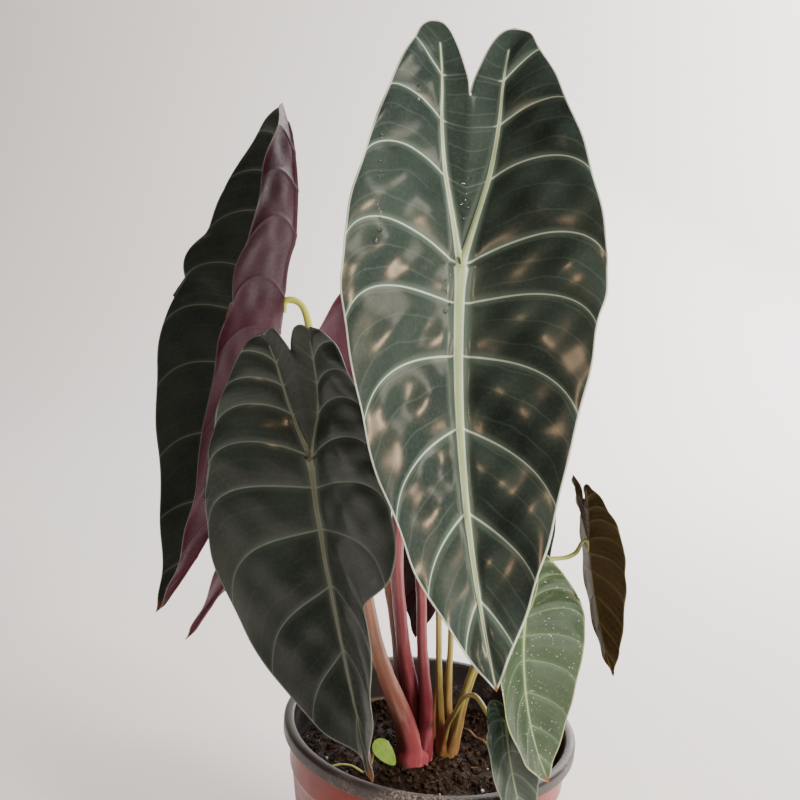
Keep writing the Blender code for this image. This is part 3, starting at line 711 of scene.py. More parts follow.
def stalk_material(name, foot, middle, top, blush):
    """Alocasia petiole, as grown: a smooth, juicy, waxy skin with faint lengthwise fibres."""
    made, tree = new_material(name)
    run = add(tree, "ShaderNodeAttribute", {"attribute_name": "run"}, out="Vector")
    share = add(tree, "ShaderNodeSeparateXYZ", inputs={0: run}, out=0)
    spots = add(tree, "ShaderNodeTexCoord", out="Object")
    fibre = add(
        tree, NOISE,
        inputs={
            "Vector": add(
                tree, "ShaderNodeMapping", inputs={"Vector": run, "Scale": (0.0, 9.0, 40.0)}, out=0
            ),
            "Scale": 1.0, "Detail": 4.0,
        },
        out="Fac",
    )
    patch = add(tree, NOISE, inputs={"Vector": spots, "Scale": 70.0, "Detail": 3.0})
    where = add(
        tree, MATH, ADD,
        {
            0: share,
            1: add(
                tree, MATH, MULTIPLY,
                {0: add(tree, MATH, SUBTRACT, {0: patch.outputs["Fac"], 1: 0.5}, 0), 1: 0.25}, 0,
            ),
        },
        0,
    )
    skin = add(
        tree, MIX, COLOR,
        {
            0: add(tree, RANGE, EASED, {0: where, 1: 0.02, 2: 0.45}, 0), 6: linear(foot),
            7: linear(middle),
        },
        2,
    )
    skin = add(
        tree, MIX, COLOR,
        {0: add(tree, RANGE, EASED, {0: where, 1: 0.62, 2: 1.0}, 0), 6: skin, 7: linear(top)}, 2,
    )
    skin = add(
        tree, MIX, COLOR,
        {
            0: add(tree, RANGE, EASED, {0: fibre, 1: 0.5, 2: 0.78, 3: 0.0, 4: 0.55}, 0), 6: skin,
            7: linear(blush),
        },
        2,
    )
    skin = add(
        tree, MIX, COLOR,
        {
            0: add(tree, RANGE, EASED, {0: fibre, 1: 0.42, 2: 0.2, 3: 0.0, 4: 0.5}, 0), 6: skin,
            7: linear(foot),
        },
        2,
    )
    bump = add(
        tree, "ShaderNodeBump", inputs={"Height": fibre, "Strength": 0.35, "Distance": 0.0004},
        out=0,
    )
    shader = add(
        tree, "ShaderNodeBsdfPrincipled",
        inputs={
            "Base Color": skin,
            "Roughness": add(tree, RANGE, EASED, {0: fibre, 1: 0.3, 2: 0.7, 3: 0.3, 4: 0.44}, 0),
            "Normal": bump, "IOR": 1.45, "Subsurface Weight": 0.12, "Subsurface Scale": 0.0015,
            "Coat Weight": 0.15, "Coat Roughness": 0.25,
        },
    )
    shader.inputs["Subsurface Radius"].default_value = (1.0, 0.35, 0.25)
    add(tree, "ShaderNodeOutputMaterial", inputs={"Surface": shader.outputs[0]})
    return made


def stalk_tree():
    """Geometry Nodes: a fluted, slightly uneven stalk, with its run kept for the skin."""
    tree = bpy.data.node_groups.new("Stalk", "GeometryNodeTree")
    face = tree.interface
    face.new_socket("Curve", in_out="INPUT", socket_type="NodeSocketGeometry")
    for label, kind, value in (
        ("Sides", "NodeSocketInt", 28), ("Step", "NodeSocketFloat", 0.0012),
        ("Flutes", "NodeSocketFloat", 0.02), ("Skin", "NodeSocketMaterial", None),
    ):
        made = face.new_socket(label, in_out="INPUT", socket_type=kind)
        if value is not None:
            made.default_value = value
    face.new_socket("Stalk", in_out="OUTPUT", socket_type="NodeSocketGeometry")
    given = add(tree, "NodeGroupInput").outputs
    path = add(
        tree, "GeometryNodeResampleCurve", {"mode": "LENGTH"},
        {"Curve": given["Curve"], "Length": given["Step"]}, 0,
    )
    along = add(tree, "GeometryNodeSplineParameter").outputs
    kept = add(tree, "GeometryNodeCaptureAttribute", {"domain": "POINT"}, {"Geometry": path})
    kept.capture_items.new("FLOAT", "share")
    kept.capture_items.new("FLOAT", "length")
    tree.links.new(along["Factor"], kept.inputs["share"])
    tree.links.new(along["Length"], kept.inputs["length"])
    ring = add(
        tree, "GeometryNodeCurvePrimitiveCircle", {"mode": "RADIUS"},
        {"Resolution": given["Sides"], "Radius": 1.0}, 0,
    )
    round_share = add(tree, "GeometryNodeSplineParameter", out="Factor")
    flute = add(
        tree, MATH, SINE, {0: add(tree, MATH, MULTIPLY, {0: round_share, 1: 2 * math.pi * 7}, 0)}, 0
    )
    grow = add(
        tree, MATH, ADD, {0: add(tree, MATH, MULTIPLY, {0: flute, 1: given["Flutes"]}, 0), 1: 1.0},
        0,
    )
    moved = add(
        tree, "ShaderNodeVectorMath", {"operation": "SCALE"},
        {0: add(tree, "GeometryNodeInputPosition", out=0), "Scale": grow}, 0,
    )
    ring = add(tree, "GeometryNodeSetPosition", inputs={"Geometry": ring, "Position": moved}, out=0)
    turned = add(tree, "GeometryNodeCaptureAttribute", {"domain": "POINT"}, {"Geometry": ring})
    turned.capture_items.new("FLOAT", "turn")
    tree.links.new(round_share, turned.inputs["turn"])
    tube = add(
        tree, "GeometryNodeCurveToMesh",
        inputs={"Curve": kept.outputs[0], "Profile Curve": turned.outputs[0], "Fill Caps": True},
    )
    for socket in tube.inputs:
        if socket.name == "Scale":
            tree.links.new(add(tree, "GeometryNodeInputRadius", out=0), socket)
    run = add(
        tree, "ShaderNodeCombineXYZ",
        inputs={0: kept.outputs["share"], 1: turned.outputs["turn"], 2: kept.outputs["length"]},
        out=0,
    )
    stored = add(
        tree, "GeometryNodeStoreNamedAttribute", {"data_type": "FLOAT_VECTOR", "domain": "POINT"},
        {"Geometry": tube.outputs[0], "Name": "run", "Value": run}, 0,
    )
    uneven = add(tree, NOISE, inputs={"Scale": 120.0, "Detail": 1.0}, out="Fac")
    push = add(
        tree, "ShaderNodeVectorMath", {"operation": "SCALE"},
        {
            0: add(tree, "GeometryNodeInputNormal", out=0),
            "Scale": add(
                tree, MATH, MULTIPLY,
                {0: add(tree, MATH, SUBTRACT, {0: uneven, 1: 0.5}, 0), 1: 0.0005}, 0,
            ),
        },
        0,
    )
    lumpy = add(tree, "GeometryNodeSetPosition", inputs={"Geometry": stored, "Offset": push}, out=0)
    real = add(tree, "GeometryNodeRealizeInstances", inputs={"Geometry": lumpy}, out=0)
    painted = add(
        tree, "GeometryNodeSetMaterial", inputs={"Geometry": real, "Material": given["Skin"]}, out=0
    )
    add(tree, "NodeGroupOutput", inputs={"Stalk": painted})
    return tree


def run_tree(obj, tree, values, name):
    """Runs a node tree on obj with its named inputs, and returns the result as a plain mesh."""
    modifier = obj.modifiers.new(tree.name, "NODES")
    modifier.node_group = tree
    for item in tree.interface.items_tree:
        if item.item_type == "SOCKET" and item.in_out == "INPUT" and item.name in values:
            modifier[item.identifier] = values[item.name]
    made = plain_mesh(obj, name)
    made.data.validate()
    return made


def curve_through(name, path):
    """A smooth curve through path, which holds (x, y, z, radius)."""
    curve = bpy.data.curves.new(name, "CURVE")
    curve.dimensions = "3D"
    curve.resolution_u = 24
    spline = curve.splines.new("BEZIER")
    spline.bezier_points.add(len(path) - 1)
    for point, (x, y, z, r) in zip(spline.bezier_points, path):
        point.co = (x, y, z)
        point.radius = r
        point.handle_left_type = "AUTO"
        point.handle_right_type = "AUTO"
    return placed(name + "_path", curve)


# Each stalk: its clump, its foot's offset in x and y, points on its way, the radius at its foot and
# its end, the length and slant in degrees of its last stretch, and its skin.
STALKS = {
    "front_large": (
        CROWN_TOP, 0.001, 0.0045,
        [(-0.0165, -0.005, 0.064), (-0.0235, -0.019, 0.119), (-0.021, -0.036, 0.185)],
        (0.0033, 0.0026), 0.02, 35, "red",
    ),
    "front_left": (
        CROWN_TOP, -0.003, -0.0048, [(-0.0285, -0.027, 0.07), (-0.0385, -0.036, 0.11)],
        (0.0038, 0.0025), 0.016, 35, "tan",
    ),
    "back_left": (
        CROWN_TOP, -0.0056, 0.0018, [(-0.023, 0.01, 0.075), (-0.045, 0.013, 0.14)],
        (0.0025, 0.0017), 0.03, 58, "green_top",
    ),
    "back_middle": (
        CROWN_TOP, 0.005, -0.0022, [(-0.007, -0.002, 0.06), (-0.0125, 0.003, 0.1)],
        (0.0027, 0.0021), 0.02, 45, "red",
    ),
    "back_low": (
        OFFSET_TOP, -0.0038, 0.0006, [(0.0025, 0.004, 0.045), (-0.0015, 0.006, 0.085)],
        (0.0016, 0.0014), 0.012, 40, "yellow",
    ),
    "behind_front": (
        OFFSET_TOP, -0.0005, 0.0038, [(0.0075, 0.012, 0.05), (0.008, 0.016, 0.085)],
        (0.0016, 0.0014), 0.012, 40, "yellow",
    ),
    "right_small": (
        OFFSET_TOP, 0.0036, 0.0013,
        [(0.018, -0.006, 0.05), (0.03, -0.012, 0.088), (0.044, -0.01, 0.11)], (0.0018, 0.001),
        0.008, 40, "yellow",
    ),
    "young_light": (
        OFFSET_TOP, 0.0022, -0.0031, [(0.014, -0.014, 0.045), (0.02, -0.03, 0.078)],
        (0.0017, 0.0013), 0.01, 40, "yellow",
    ),
    "over_rim": (
        OFFSET_TOP, -0.0022, -0.0032, [(0.01, -0.018, 0.036), (0.016, -0.036, 0.055)],
        (0.0012, 0.001), 0.006, 35, "yellow",
    ),
}


def stalk_path(key):
    """From its clump to the rib of its blade: the foot is wide, and the end runs into the rib."""
    base, dx, dy, via, radius, reach, slant, _ = STALKS[key]
    b = {**PLAIN, **BLADES[key]}
    turn = blade_turn(b)
    face, toward_tip = turn[:, 2], -turn[:, 1]
    lean = math.radians(slant)
    back = toward_tip * math.sin(lean) - face * math.cos(lean)
    at = spot(b["at"])
    start = base + (dx, dy, 0)
    centre = CROWN if base is CROWN_TOP else OFFSET
    sunk = centre + (dx * 0.7, dy * 0.7, 0.001)
    path = [
        (*sunk, radius[0] * 1.9),
        (*start * 0.5 + sunk * 0.5 + (dx * 0.1, dy * 0.1, 0), radius[0] * 1.55),
    ]
    for k, p in enumerate(via):
        path.append((*spot(p), radius[0] + (radius[1] - radius[0]) * (k + 1) / (len(via) + 1)))
    end = at - face * (0.0011 + radius[1] * 0.6)
    path.append((*(end + back * reach), radius[1] * 1.02))
    path.append((*end, radius[1] * 0.95))
    path.append((*(at - face * 0.0012 + toward_tip * 0.006), radius[1] * 0.5))
    return path


def draw_stalk(name, path, skin, sides, step, flutes):
    """A stalk along path, through the stalk tree."""
    values = {"Sides": sides, "Step": step, "Flutes": flutes, "Skin": skin}
    made = run_tree(curve_through(name, path), bpy.data.node_groups["Stalk"], values, name)
    made.data.shade_smooth()
    return made


class AlocasiaPot(bpy.types.PropertyGroup):
    """The pot's colours and fineness."""

    steps: IntProperty(name="Steps", description="Sides of the turned pot", default=160, min=24)
    outside: FloatVectorProperty(
        name="Outside", description="Colour of the outer skin", subtype="COLOR", size=4,
        default=linear("740a07"),
    )
    inside: FloatVectorProperty(
        name="Inside", description="Colour of the inner skin and rim", subtype="COLOR", size=4,
        default=linear("2b2829"),
    )


class AlocasiaSoil(bpy.types.PropertyGroup):
    """How the soil's top is strewn."""

    chips: FloatProperty(
        name="Chips", description="Bark chips per square metre", default=150000.0, min=0.0
    )
    chip_size: FloatProperty(
        name="Chip size", description="Length of a large chip", default=0.0046, subtype="DISTANCE",
        unit="LENGTH",
    )
    perlite: FloatProperty(
        name="Perlite", description="Perlite grains per square metre", default=1600.0, min=0.0
    )
    fibres: FloatProperty(
        name="Fibres", description="Fibres per square metre", default=26000.0, min=0.0
    )
    mound: FloatProperty(
        name="Mound", description="Height of the soil's mounds", default=0.0015, subtype="DISTANCE",
        unit="LENGTH",
    )


class AlocasiaLeaves(bpy.types.PropertyGroup):
    """Blade finish."""

    gloss: FloatProperty(
        name="Roughness", description="Roughness of the upper skin", default=0.46, min=0.0, max=1.0
    )
    thin: FloatProperty(
        name="Thinness", description="Share of light that comes through a grown blade",
        default=0.06, min=0.0, max=1.0,
    )
    drops: FloatProperty(
        name="Drops", description="Water drops per square metre near the joint", default=230000.0,
        min=0.0,
    )
    dust: FloatProperty(
        name="Dust", description="Specks per square metre on the young blade", default=90000.0,
        min=0.0,
    )


class AlocasiaStage(bpy.types.PropertyGroup):
    """Floor, light and camera."""

    key: FloatProperty(
        name="Key", description="Power of the window light", default=42.0, unit="POWER"
    )
    fill: FloatProperty(
        name="Fill", description="Strength of the surrounding light", default=0.09, min=0.0
    )
    lens: FloatProperty(name="Lens", description="Focal length in millimetres", default=49.5)


def turned_profile(name, profile, steps):
    mesh = bpy.data.meshes.new(name)
    mesh.from_pydata(
        [(r, 0.0, z) for r, z in profile], [(i, i + 1) for i in range(len(profile) - 1)], []
    )
    obj = placed(name, mesh)
    screw = obj.modifiers.new("Turn", "SCREW")
    screw.axis = "Z"
    screw.steps = steps
    screw.render_steps = steps
    screw.use_merge_vertices = True
    screw.merge_threshold = 1e-5
    return obj


def wall_radius(z):
    top = POT_R - RIM_LIP
    if z > STEP_Z:
        return top
    return FOOT_R + (top - STEP_IN - FOOT_R) * z / STEP_Z


def rounded(points, spans=4):
    """A profile with its corners softened: each inner point becomes a short arc."""
    out = [points[0]]
    for before, here, after in zip(points, points[1:], points[2:]):
        a, p, c = (np.array(v) for v in (before, here, after))
        la, lc = np.linalg.norm(a - p), np.linalg.norm(c - p)
        cut = min(0.45 * la, 0.45 * lc, 0.0012)
        s, e = p + (a - p) / la * cut, p + (c - p) / lc * cut
        for t in np.linspace(0, 1, spans):
            out.append(tuple((1 - t) ** 2 * s + 2 * (1 - t) * t * p + t * t * e))
    return out + [points[-1]]


def pot_material(name, color, rough, dust, dusty):
    """Polypropylene sheet, thermoformed: an even satin plastic, faintly scuffed, with soil dust."""
    made, tree = new_material(name)
    spots = add(tree, "ShaderNodeTexCoord", out="Object")
    broad = add(
        tree, NOISE, inputs={"Vector": spots, "Scale": 35.0, "Detail": 5.0, "Roughness": 0.65},
        out="Fac",
    )
    fine = add(tree, NOISE, inputs={"Vector": spots, "Scale": 900.0, "Detail": 3.0}, out="Fac")
    lines = add(
        tree, NOISE,
        inputs={
            "Vector": add(
                tree, "ShaderNodeMapping", inputs={"Vector": spots, "Scale": (60.0, 60.0, 900.0)},
                out=0,
            ),
            "Scale": 1.0, "Detail": 2.0,
        },
        out="Fac",
    )
    tint = add(
        tree, MIX, COLOR,
        {
            0: add(tree, RANGE, EASED, {0: broad, 1: 0.35, 2: 0.75, 3: 0.0, 4: 0.35}, 0), 6: color,
            7: linear("4a0d0a") if not dusty else linear("3d393b"),
        },
        2,
    )
    amount = add(
        tree, MATH, MULTIPLY,
        {
            0: add(tree, RANGE, EASED, {0: broad, 1: 0.45, 2: 0.72}, 0),
            1: add(tree, RANGE, EASED, {0: fine, 1: 0.42, 2: 0.66}, 0),
        },
        0,
    )
    tint = add(
        tree, MIX, COLOR,
        {0: add(tree, MATH, MULTIPLY, {0: amount, 1: dust}, 0), 6: tint, 7: linear("8f867e")}, 2,
    )
    scuff = add(tree, RANGE, EASED, {0: lines, 1: 0.66, 2: 0.74, 3: 0.0, 4: 0.12}, 0)
    tint = add(tree, MIX, COLOR, {0: scuff, 6: tint, 7: linear("a79a92")}, 2)
    height = add(tree, MATH, ADD, {0: add(tree, MATH, MULTIPLY, {0: fine, 1: 0.4}, 0), 1: lines}, 0)
    bump = add(
        tree, "ShaderNodeBump", inputs={"Height": height, "Strength": 0.12, "Distance": 0.0003},
        out=0,
    )
    rough = add(
        tree, MATH, ADD,
        {
            0: add(
                tree, RANGE, EASED, {0: broad, 1: 0.3, 2: 0.8, 3: rough - 0.05, 4: rough + 0.1}, 0
            ),
            1: add(tree, MATH, MULTIPLY, {0: amount, 1: 0.25}, 0),
        },
        0,
    )
    shader = add(
        tree, "ShaderNodeBsdfPrincipled",
        inputs={"Base Color": tint, "Roughness": rough, "Normal": bump, "IOR": 1.49},
    )
    add(tree, "ShaderNodeOutputMaterial", inputs={"Surface": shader.outputs[0]})
    return made


class ALOCASIA_OT_pot(bpy.types.Operator):
    """Turns the nursery pot, bores its drain holes and paints its two skins."""

    bl_idname = "alocasia.pot"
    bl_label = "Pot"

    def execute(self, context):
        values = context.scene.alocasia_pot
        top = POT_R - RIM_LIP
        band = POT_TOP - RIM_BAND
        profile = [
            (0.0, FLOOR + 0.0015), (FOOT_R * 0.55, FLOOR + 0.0015), (FOOT_R * 0.66, FLOOR),
            (wall_radius(FLOOR) - WALL, FLOOR),
            (wall_radius(STEP_Z - 0.001) - WALL, STEP_Z - 0.0012), (top - WALL, STEP_Z + 0.0008),
            (top - WALL, POT_TOP - 0.0012), (top - WALL * 0.4, POT_TOP - 0.0002),
            (top + RIM_LIP * 0.45, POT_TOP), (POT_R - 0.0006, POT_TOP - 0.0004),
            (POT_R, POT_TOP - 0.0014), (POT_R, band + 0.0005), (POT_R - 0.0004, band),
            (POT_R - 0.0014, band), (POT_R - 0.0016, band + 0.0008),
            (top + 0.0002, POT_TOP - 0.0022), (top, POT_TOP - 0.0034), (top, STEP_Z),
            (top - STEP_IN, STEP_Z - 0.002), (wall_radius(0.004), 0.004), (FOOT_R, 0.0012),
            (FOOT_R - 0.0012, 0.0), (FOOT_R * 0.68, 0.0), (FOOT_R * 0.62, 0.001),
            (FOOT_R * 0.5, 0.001), (FOOT_R * 0.44, 0.0), (0.0, 0.0),
        ]
        pot = turned_profile("pot_raw", rounded(profile), values.steps)
        cutters = []
        for i in range(DRAINS):
            a = 2 * math.pi * (i + 0.5) / DRAINS
            bm = bmesh.new()
            bmesh.ops.create_cone(
                bm, cap_ends=True, segments=32, radius1=DRAIN_R, radius2=DRAIN_R, depth=0.012
            )
            mesh = bpy.data.meshes.new("drain")
            bm.to_mesh(mesh)
            bm.free()
            cutter = placed("drain", mesh)
            cutter.location = (DRAIN_RING * math.cos(a), DRAIN_RING * math.sin(a), FLOOR)
            cut = pot.modifiers.new("Drain", "BOOLEAN")
            cut.operation = "DIFFERENCE"
            cut.object = cutter
            cutters.append(cutter)
        pot = plain_mesh(pot, "pot_shell")
        for cutter in cutters:
            bpy.data.objects.remove(cutter, do_unlink=True)
        mesh = pot.data
        mesh.materials.clear()
        mesh.materials.append(
            pot_material("polypropylene_red_thermoformed", tuple(values.outside), 0.3, 0.1, False)
        )
        mesh.materials.append(
            pot_material("polypropylene_black_thermoformed", tuple(values.inside), 0.42, 0.8, True)
        )
        for face in mesh.polygons:
            c, n = face.center, face.normal
            inward = n.x * c.x + n.y * c.y < 0 or (n.z > 0.9 and c.z > 0.001)
            face.material_index = 1 if inward or c.z > band - 0.0002 else 0
        mesh.shade_smooth()
        mesh.set_sharp_from_angle(angle=math.radians(50))
        keep(pot, "pot_shell", "pot")
        return {"FINISHED"}


def soil_height(x, y, mound):
    wave = np.sin(95 * x + 1.1) * np.cos(80 * y - 0.4) + 0.6 * np.sin(190 * y + 120 * x)
    near = np.minimum(np.hypot(x - CROWN[0], y - CROWN[1]), np.hypot(x - OFFSET[0], y - OFFSET[1]))
    edge = wall_radius(SOIL_Z) - np.hypot(x, y)
    calm = np.clip((near - 0.013) / 0.012, 0, 1) * np.clip(edge / 0.008, 0, 1)
    return SOIL_Z + mound * wave * calm


def soil_material():
    """Peat and bark potting mix, moist: dull crumbs, each one a shade from black to brown."""
    made, tree = new_material("peat_bark_mix_moist")
    spots = add(tree, "ShaderNodeTexCoord", out="Object")
    crumbs = add(tree, "ShaderNodeTexVoronoi", inputs={"Vector": spots, "Scale": 420.0})
    broad = add(tree, NOISE, inputs={"Vector": spots, "Scale": 90.0, "Detail": 6.0}, out="Fac")
    fine = add(tree, NOISE, inputs={"Vector": spots, "Scale": 1200.0, "Detail": 4.0}, out="Fac")
    hue = add(tree, "ShaderNodeSeparateColor", inputs={0: crumbs.outputs["Color"]}, out=0)
    earth = add(tree, MIX, COLOR, {0: hue, 6: linear("0e0806"), 7: linear("2c1d14")}, 2)
    earth = add(
        tree, MIX, COLOR,
        {0: add(tree, RANGE, EASED, {0: broad, 1: 0.35, 2: 0.7}, 0), 6: earth, 7: linear("20150f")},
        2,
    )
    earth = add(
        tree, MIX, COLOR,
        {
            0: add(tree, RANGE, EASED, {0: fine, 1: 0.62, 2: 0.8, 3: 0.0, 4: 0.5}, 0), 6: earth,
            7: linear("5a4432"),
        },
        2,
    )
    height = add(
        tree, MATH, ADD,
        {0: add(tree, MATH, MULTIPLY, {0: crumbs.outputs["Distance"], 1: 0.6}, 0), 1: fine}, 0,
    )
    bump = add(
        tree, "ShaderNodeBump", inputs={"Height": height, "Strength": 0.8, "Distance": 0.0012},
        out=0,
    )
    shader = add(
        tree, "ShaderNodeBsdfPrincipled",
        inputs={
            "Base Color": earth,
            "Roughness": add(tree, RANGE, EASED, {0: broad, 1: 0.3, 2: 0.7, 3: 0.62, 4: 0.92}, 0),
            "Normal": bump,
        },
    )
    add(tree, "ShaderNodeOutputMaterial", inputs={"Surface": shader.outputs[0]})
    return made


def chip_material(name, dark, light, rough):
    """Strewn grain: each one a shade of its own, from dark to light."""
    made, tree = new_material(name)
    shade = add(tree, "ShaderNodeAttribute", {"attribute_name": "shade"}, out="Fac")
    spots = add(tree, "ShaderNodeTexCoord", out="Object")
    fine = add(tree, NOISE, inputs={"Vector": spots, "Scale": 1500.0, "Detail": 3.0}, out="Fac")
    tint = add(tree, MIX, COLOR, {0: shade, 6: linear(dark), 7: linear(light)}, 2)
    tint = add(
        tree, MIX, COLOR,
        {
            0: add(tree, RANGE, EASED, {0: fine, 1: 0.5, 2: 0.75, 3: 0.0, 4: 0.5}, 0), 6: tint,
            7: linear(dark),
        },
        2,
    )
    bump = add(
        tree, "ShaderNodeBump", inputs={"Height": fine, "Strength": 0.6, "Distance": 0.0004}, out=0
    )
    shader = add(
        tree, "ShaderNodeBsdfPrincipled",
        inputs={"Base Color": tint, "Roughness": rough, "Normal": bump},
    )
    add(tree, "ShaderNodeOutputMaterial", inputs={"Surface": shader.outputs[0]})
    return made


def strew_tree():
    """Geometry Nodes: grains strewn over a surface, turned, sized and shaded by the seed."""
    tree = bpy.data.node_groups.new("Strew", "GeometryNodeTree")
    face = tree.interface
    face.new_socket("Ground", in_out="INPUT", socket_type="NodeSocketGeometry")
    for label, kind, value in (
        ("Density", "NodeSocketFloat", 1000.0), ("Shape", "NodeSocketVector", (1.0, 1.0, 1.0)),
        ("Size", "NodeSocketFloat", 0.002), ("Smallest", "NodeSocketFloat", 0.3),
        ("Flat", "NodeSocketFloat", 0.0), ("Faces", "NodeSocketInt", 1),
        ("Lift", "NodeSocketFloat", 0.0), ("Rough", "NodeSocketFloat", 0.3),
        ("Seed", "NodeSocketInt", 0), ("Skin", "NodeSocketMaterial", None),
    ):
        made = face.new_socket(label, in_out="INPUT", socket_type=kind)
        if value is not None:
            made.default_value = value
    face.new_socket("Grains", in_out="OUTPUT", socket_type="NodeSocketGeometry")
    given = add(tree, "NodeGroupInput").outputs
    weight = add(
        tree, "GeometryNodeInputNamedAttribute", {"data_type": "FLOAT"}, {"Name": "strewn"}, 0
    )
    places = add(
        tree, "GeometryNodeDistributePointsOnFaces", {"distribute_method": "RANDOM"},
        {
            "Mesh": given["Ground"],
            "Density": add(tree, MATH, MULTIPLY, {0: given["Density"], 1: weight}, 0),
            "Seed": given["Seed"],
        },
    ).outputs
    ball = add(
        tree, "GeometryNodeMeshIcoSphere", inputs={"Radius": 0.5, "Subdivisions": given["Faces"]},
        out=0,
    )
    noise = add(tree, NOISE, inputs={"Scale": 2.3, "Detail": 1.0}, out="Color")
    bent = add(
        tree, "ShaderNodeVectorMath", {"operation": "SUBTRACT"}, {0: noise, 1: (0.5, 0.5, 0.5)}, 0
    )
    bent = add(
        tree, "ShaderNodeVectorMath", {"operation": "SCALE"}, {0: bent, "Scale": given["Rough"]}, 0
    )
    ball = add(tree, "GeometryNodeSetPosition", inputs={"Geometry": ball, "Offset": bent}, out=0)
    spin_low = add(
        tree, "ShaderNodeCombineXYZ",
        inputs={
            0: add(tree, MATH, SUBTRACT, {0: given["Flat"], 1: 1.0}, 0),
            1: add(tree, MATH, SUBTRACT, {0: given["Flat"], 1: 1.0}, 0), 2: -3.14,
        },
        out=0,
    )
    spin_high = add(
        tree, "ShaderNodeCombineXYZ",
        inputs={
            0: add(tree, MATH, SUBTRACT, {0: 1.0, 1: given["Flat"]}, 0),
            1: add(tree, MATH, SUBTRACT, {0: 1.0, 1: given["Flat"]}, 0), 2: 3.14,
        },
        out=0,
    )
    spin = add(
        tree, "FunctionNodeRandomValue", {"data_type": "FLOAT_VECTOR"},
        {0: spin_low, 1: spin_high, "Seed": given["Seed"]}, 0,
    )
    lean = add(
        tree, "FunctionNodeRotateRotation", {"rotation_space": "LOCAL"},
        {0: places["Rotation"], 1: spin}, 0,
    )
    chance = add(
        tree, "FunctionNodeRandomValue", {"data_type": "FLOAT"},
        {2: 0.0, 3: 1.0, "Seed": given["Seed"]}, 1,
    )
    small = add(tree, MATH, POWER, {0: chance, 1: 2.5}, 0)
    length = add(
        tree, RANGE, inputs={0: small, 1: 0.0, 2: 1.0, 3: given["Smallest"], 4: 1.0}, out=0
    )
    size = add(
        tree, "ShaderNodeVectorMath", {"operation": "SCALE"},
        {0: given["Shape"], "Scale": add(tree, MATH, MULTIPLY, {0: length, 1: given["Size"]}, 0)},
        0,
    )
    up = add(
        tree, "ShaderNodeVectorMath", {"operation": "SCALE"},
        {0: places["Normal"], "Scale": given["Lift"]}, 0,
    )
    points = add(
        tree, "GeometryNodeSetPosition", inputs={"Geometry": places["Points"], "Offset": up}, out=0
    )
    grains = add(
        tree, "GeometryNodeInstanceOnPoints",
        inputs={"Points": points, "Instance": ball, "Rotation": lean, "Scale": size}, out=0,
    )
    tone = add(
        tree, "FunctionNodeRandomValue", {"data_type": "FLOAT"}, {2: 0.0, 3: 1.0, "Seed": 7}, 1
    )
    grains = add(
        tree, "GeometryNodeStoreNamedAttribute", {"data_type": "FLOAT", "domain": "INSTANCE"},
        {"Geometry": grains, "Name": "shade", "Value": tone}, 0,
    )
    real = add(tree, "GeometryNodeRealizeInstances", inputs={"Geometry": grains}, out=0)
    painted = add(
        tree, "GeometryNodeSetMaterial", inputs={"Geometry": real, "Material": given["Skin"]}, out=0
    )
    add(tree, "NodeGroupOutput", inputs={"Grains": painted})
    return tree


def weighted_copy(source, name, weights):
    """A copy of a mesh object that carries how thickly each point is strewn."""
    made = placed(name, source.data.copy())
    data = made.data.attributes.new("strewn", "FLOAT", "POINT").data
    data.foreach_set("value", np.asarray(weights, np.float32))
    return made


def points_of(obj):
    co = np.empty(len(obj.data.vertices) * 3, np.float32)
    obj.data.vertices.foreach_get("co", co)
    return co.reshape(-1, 3)


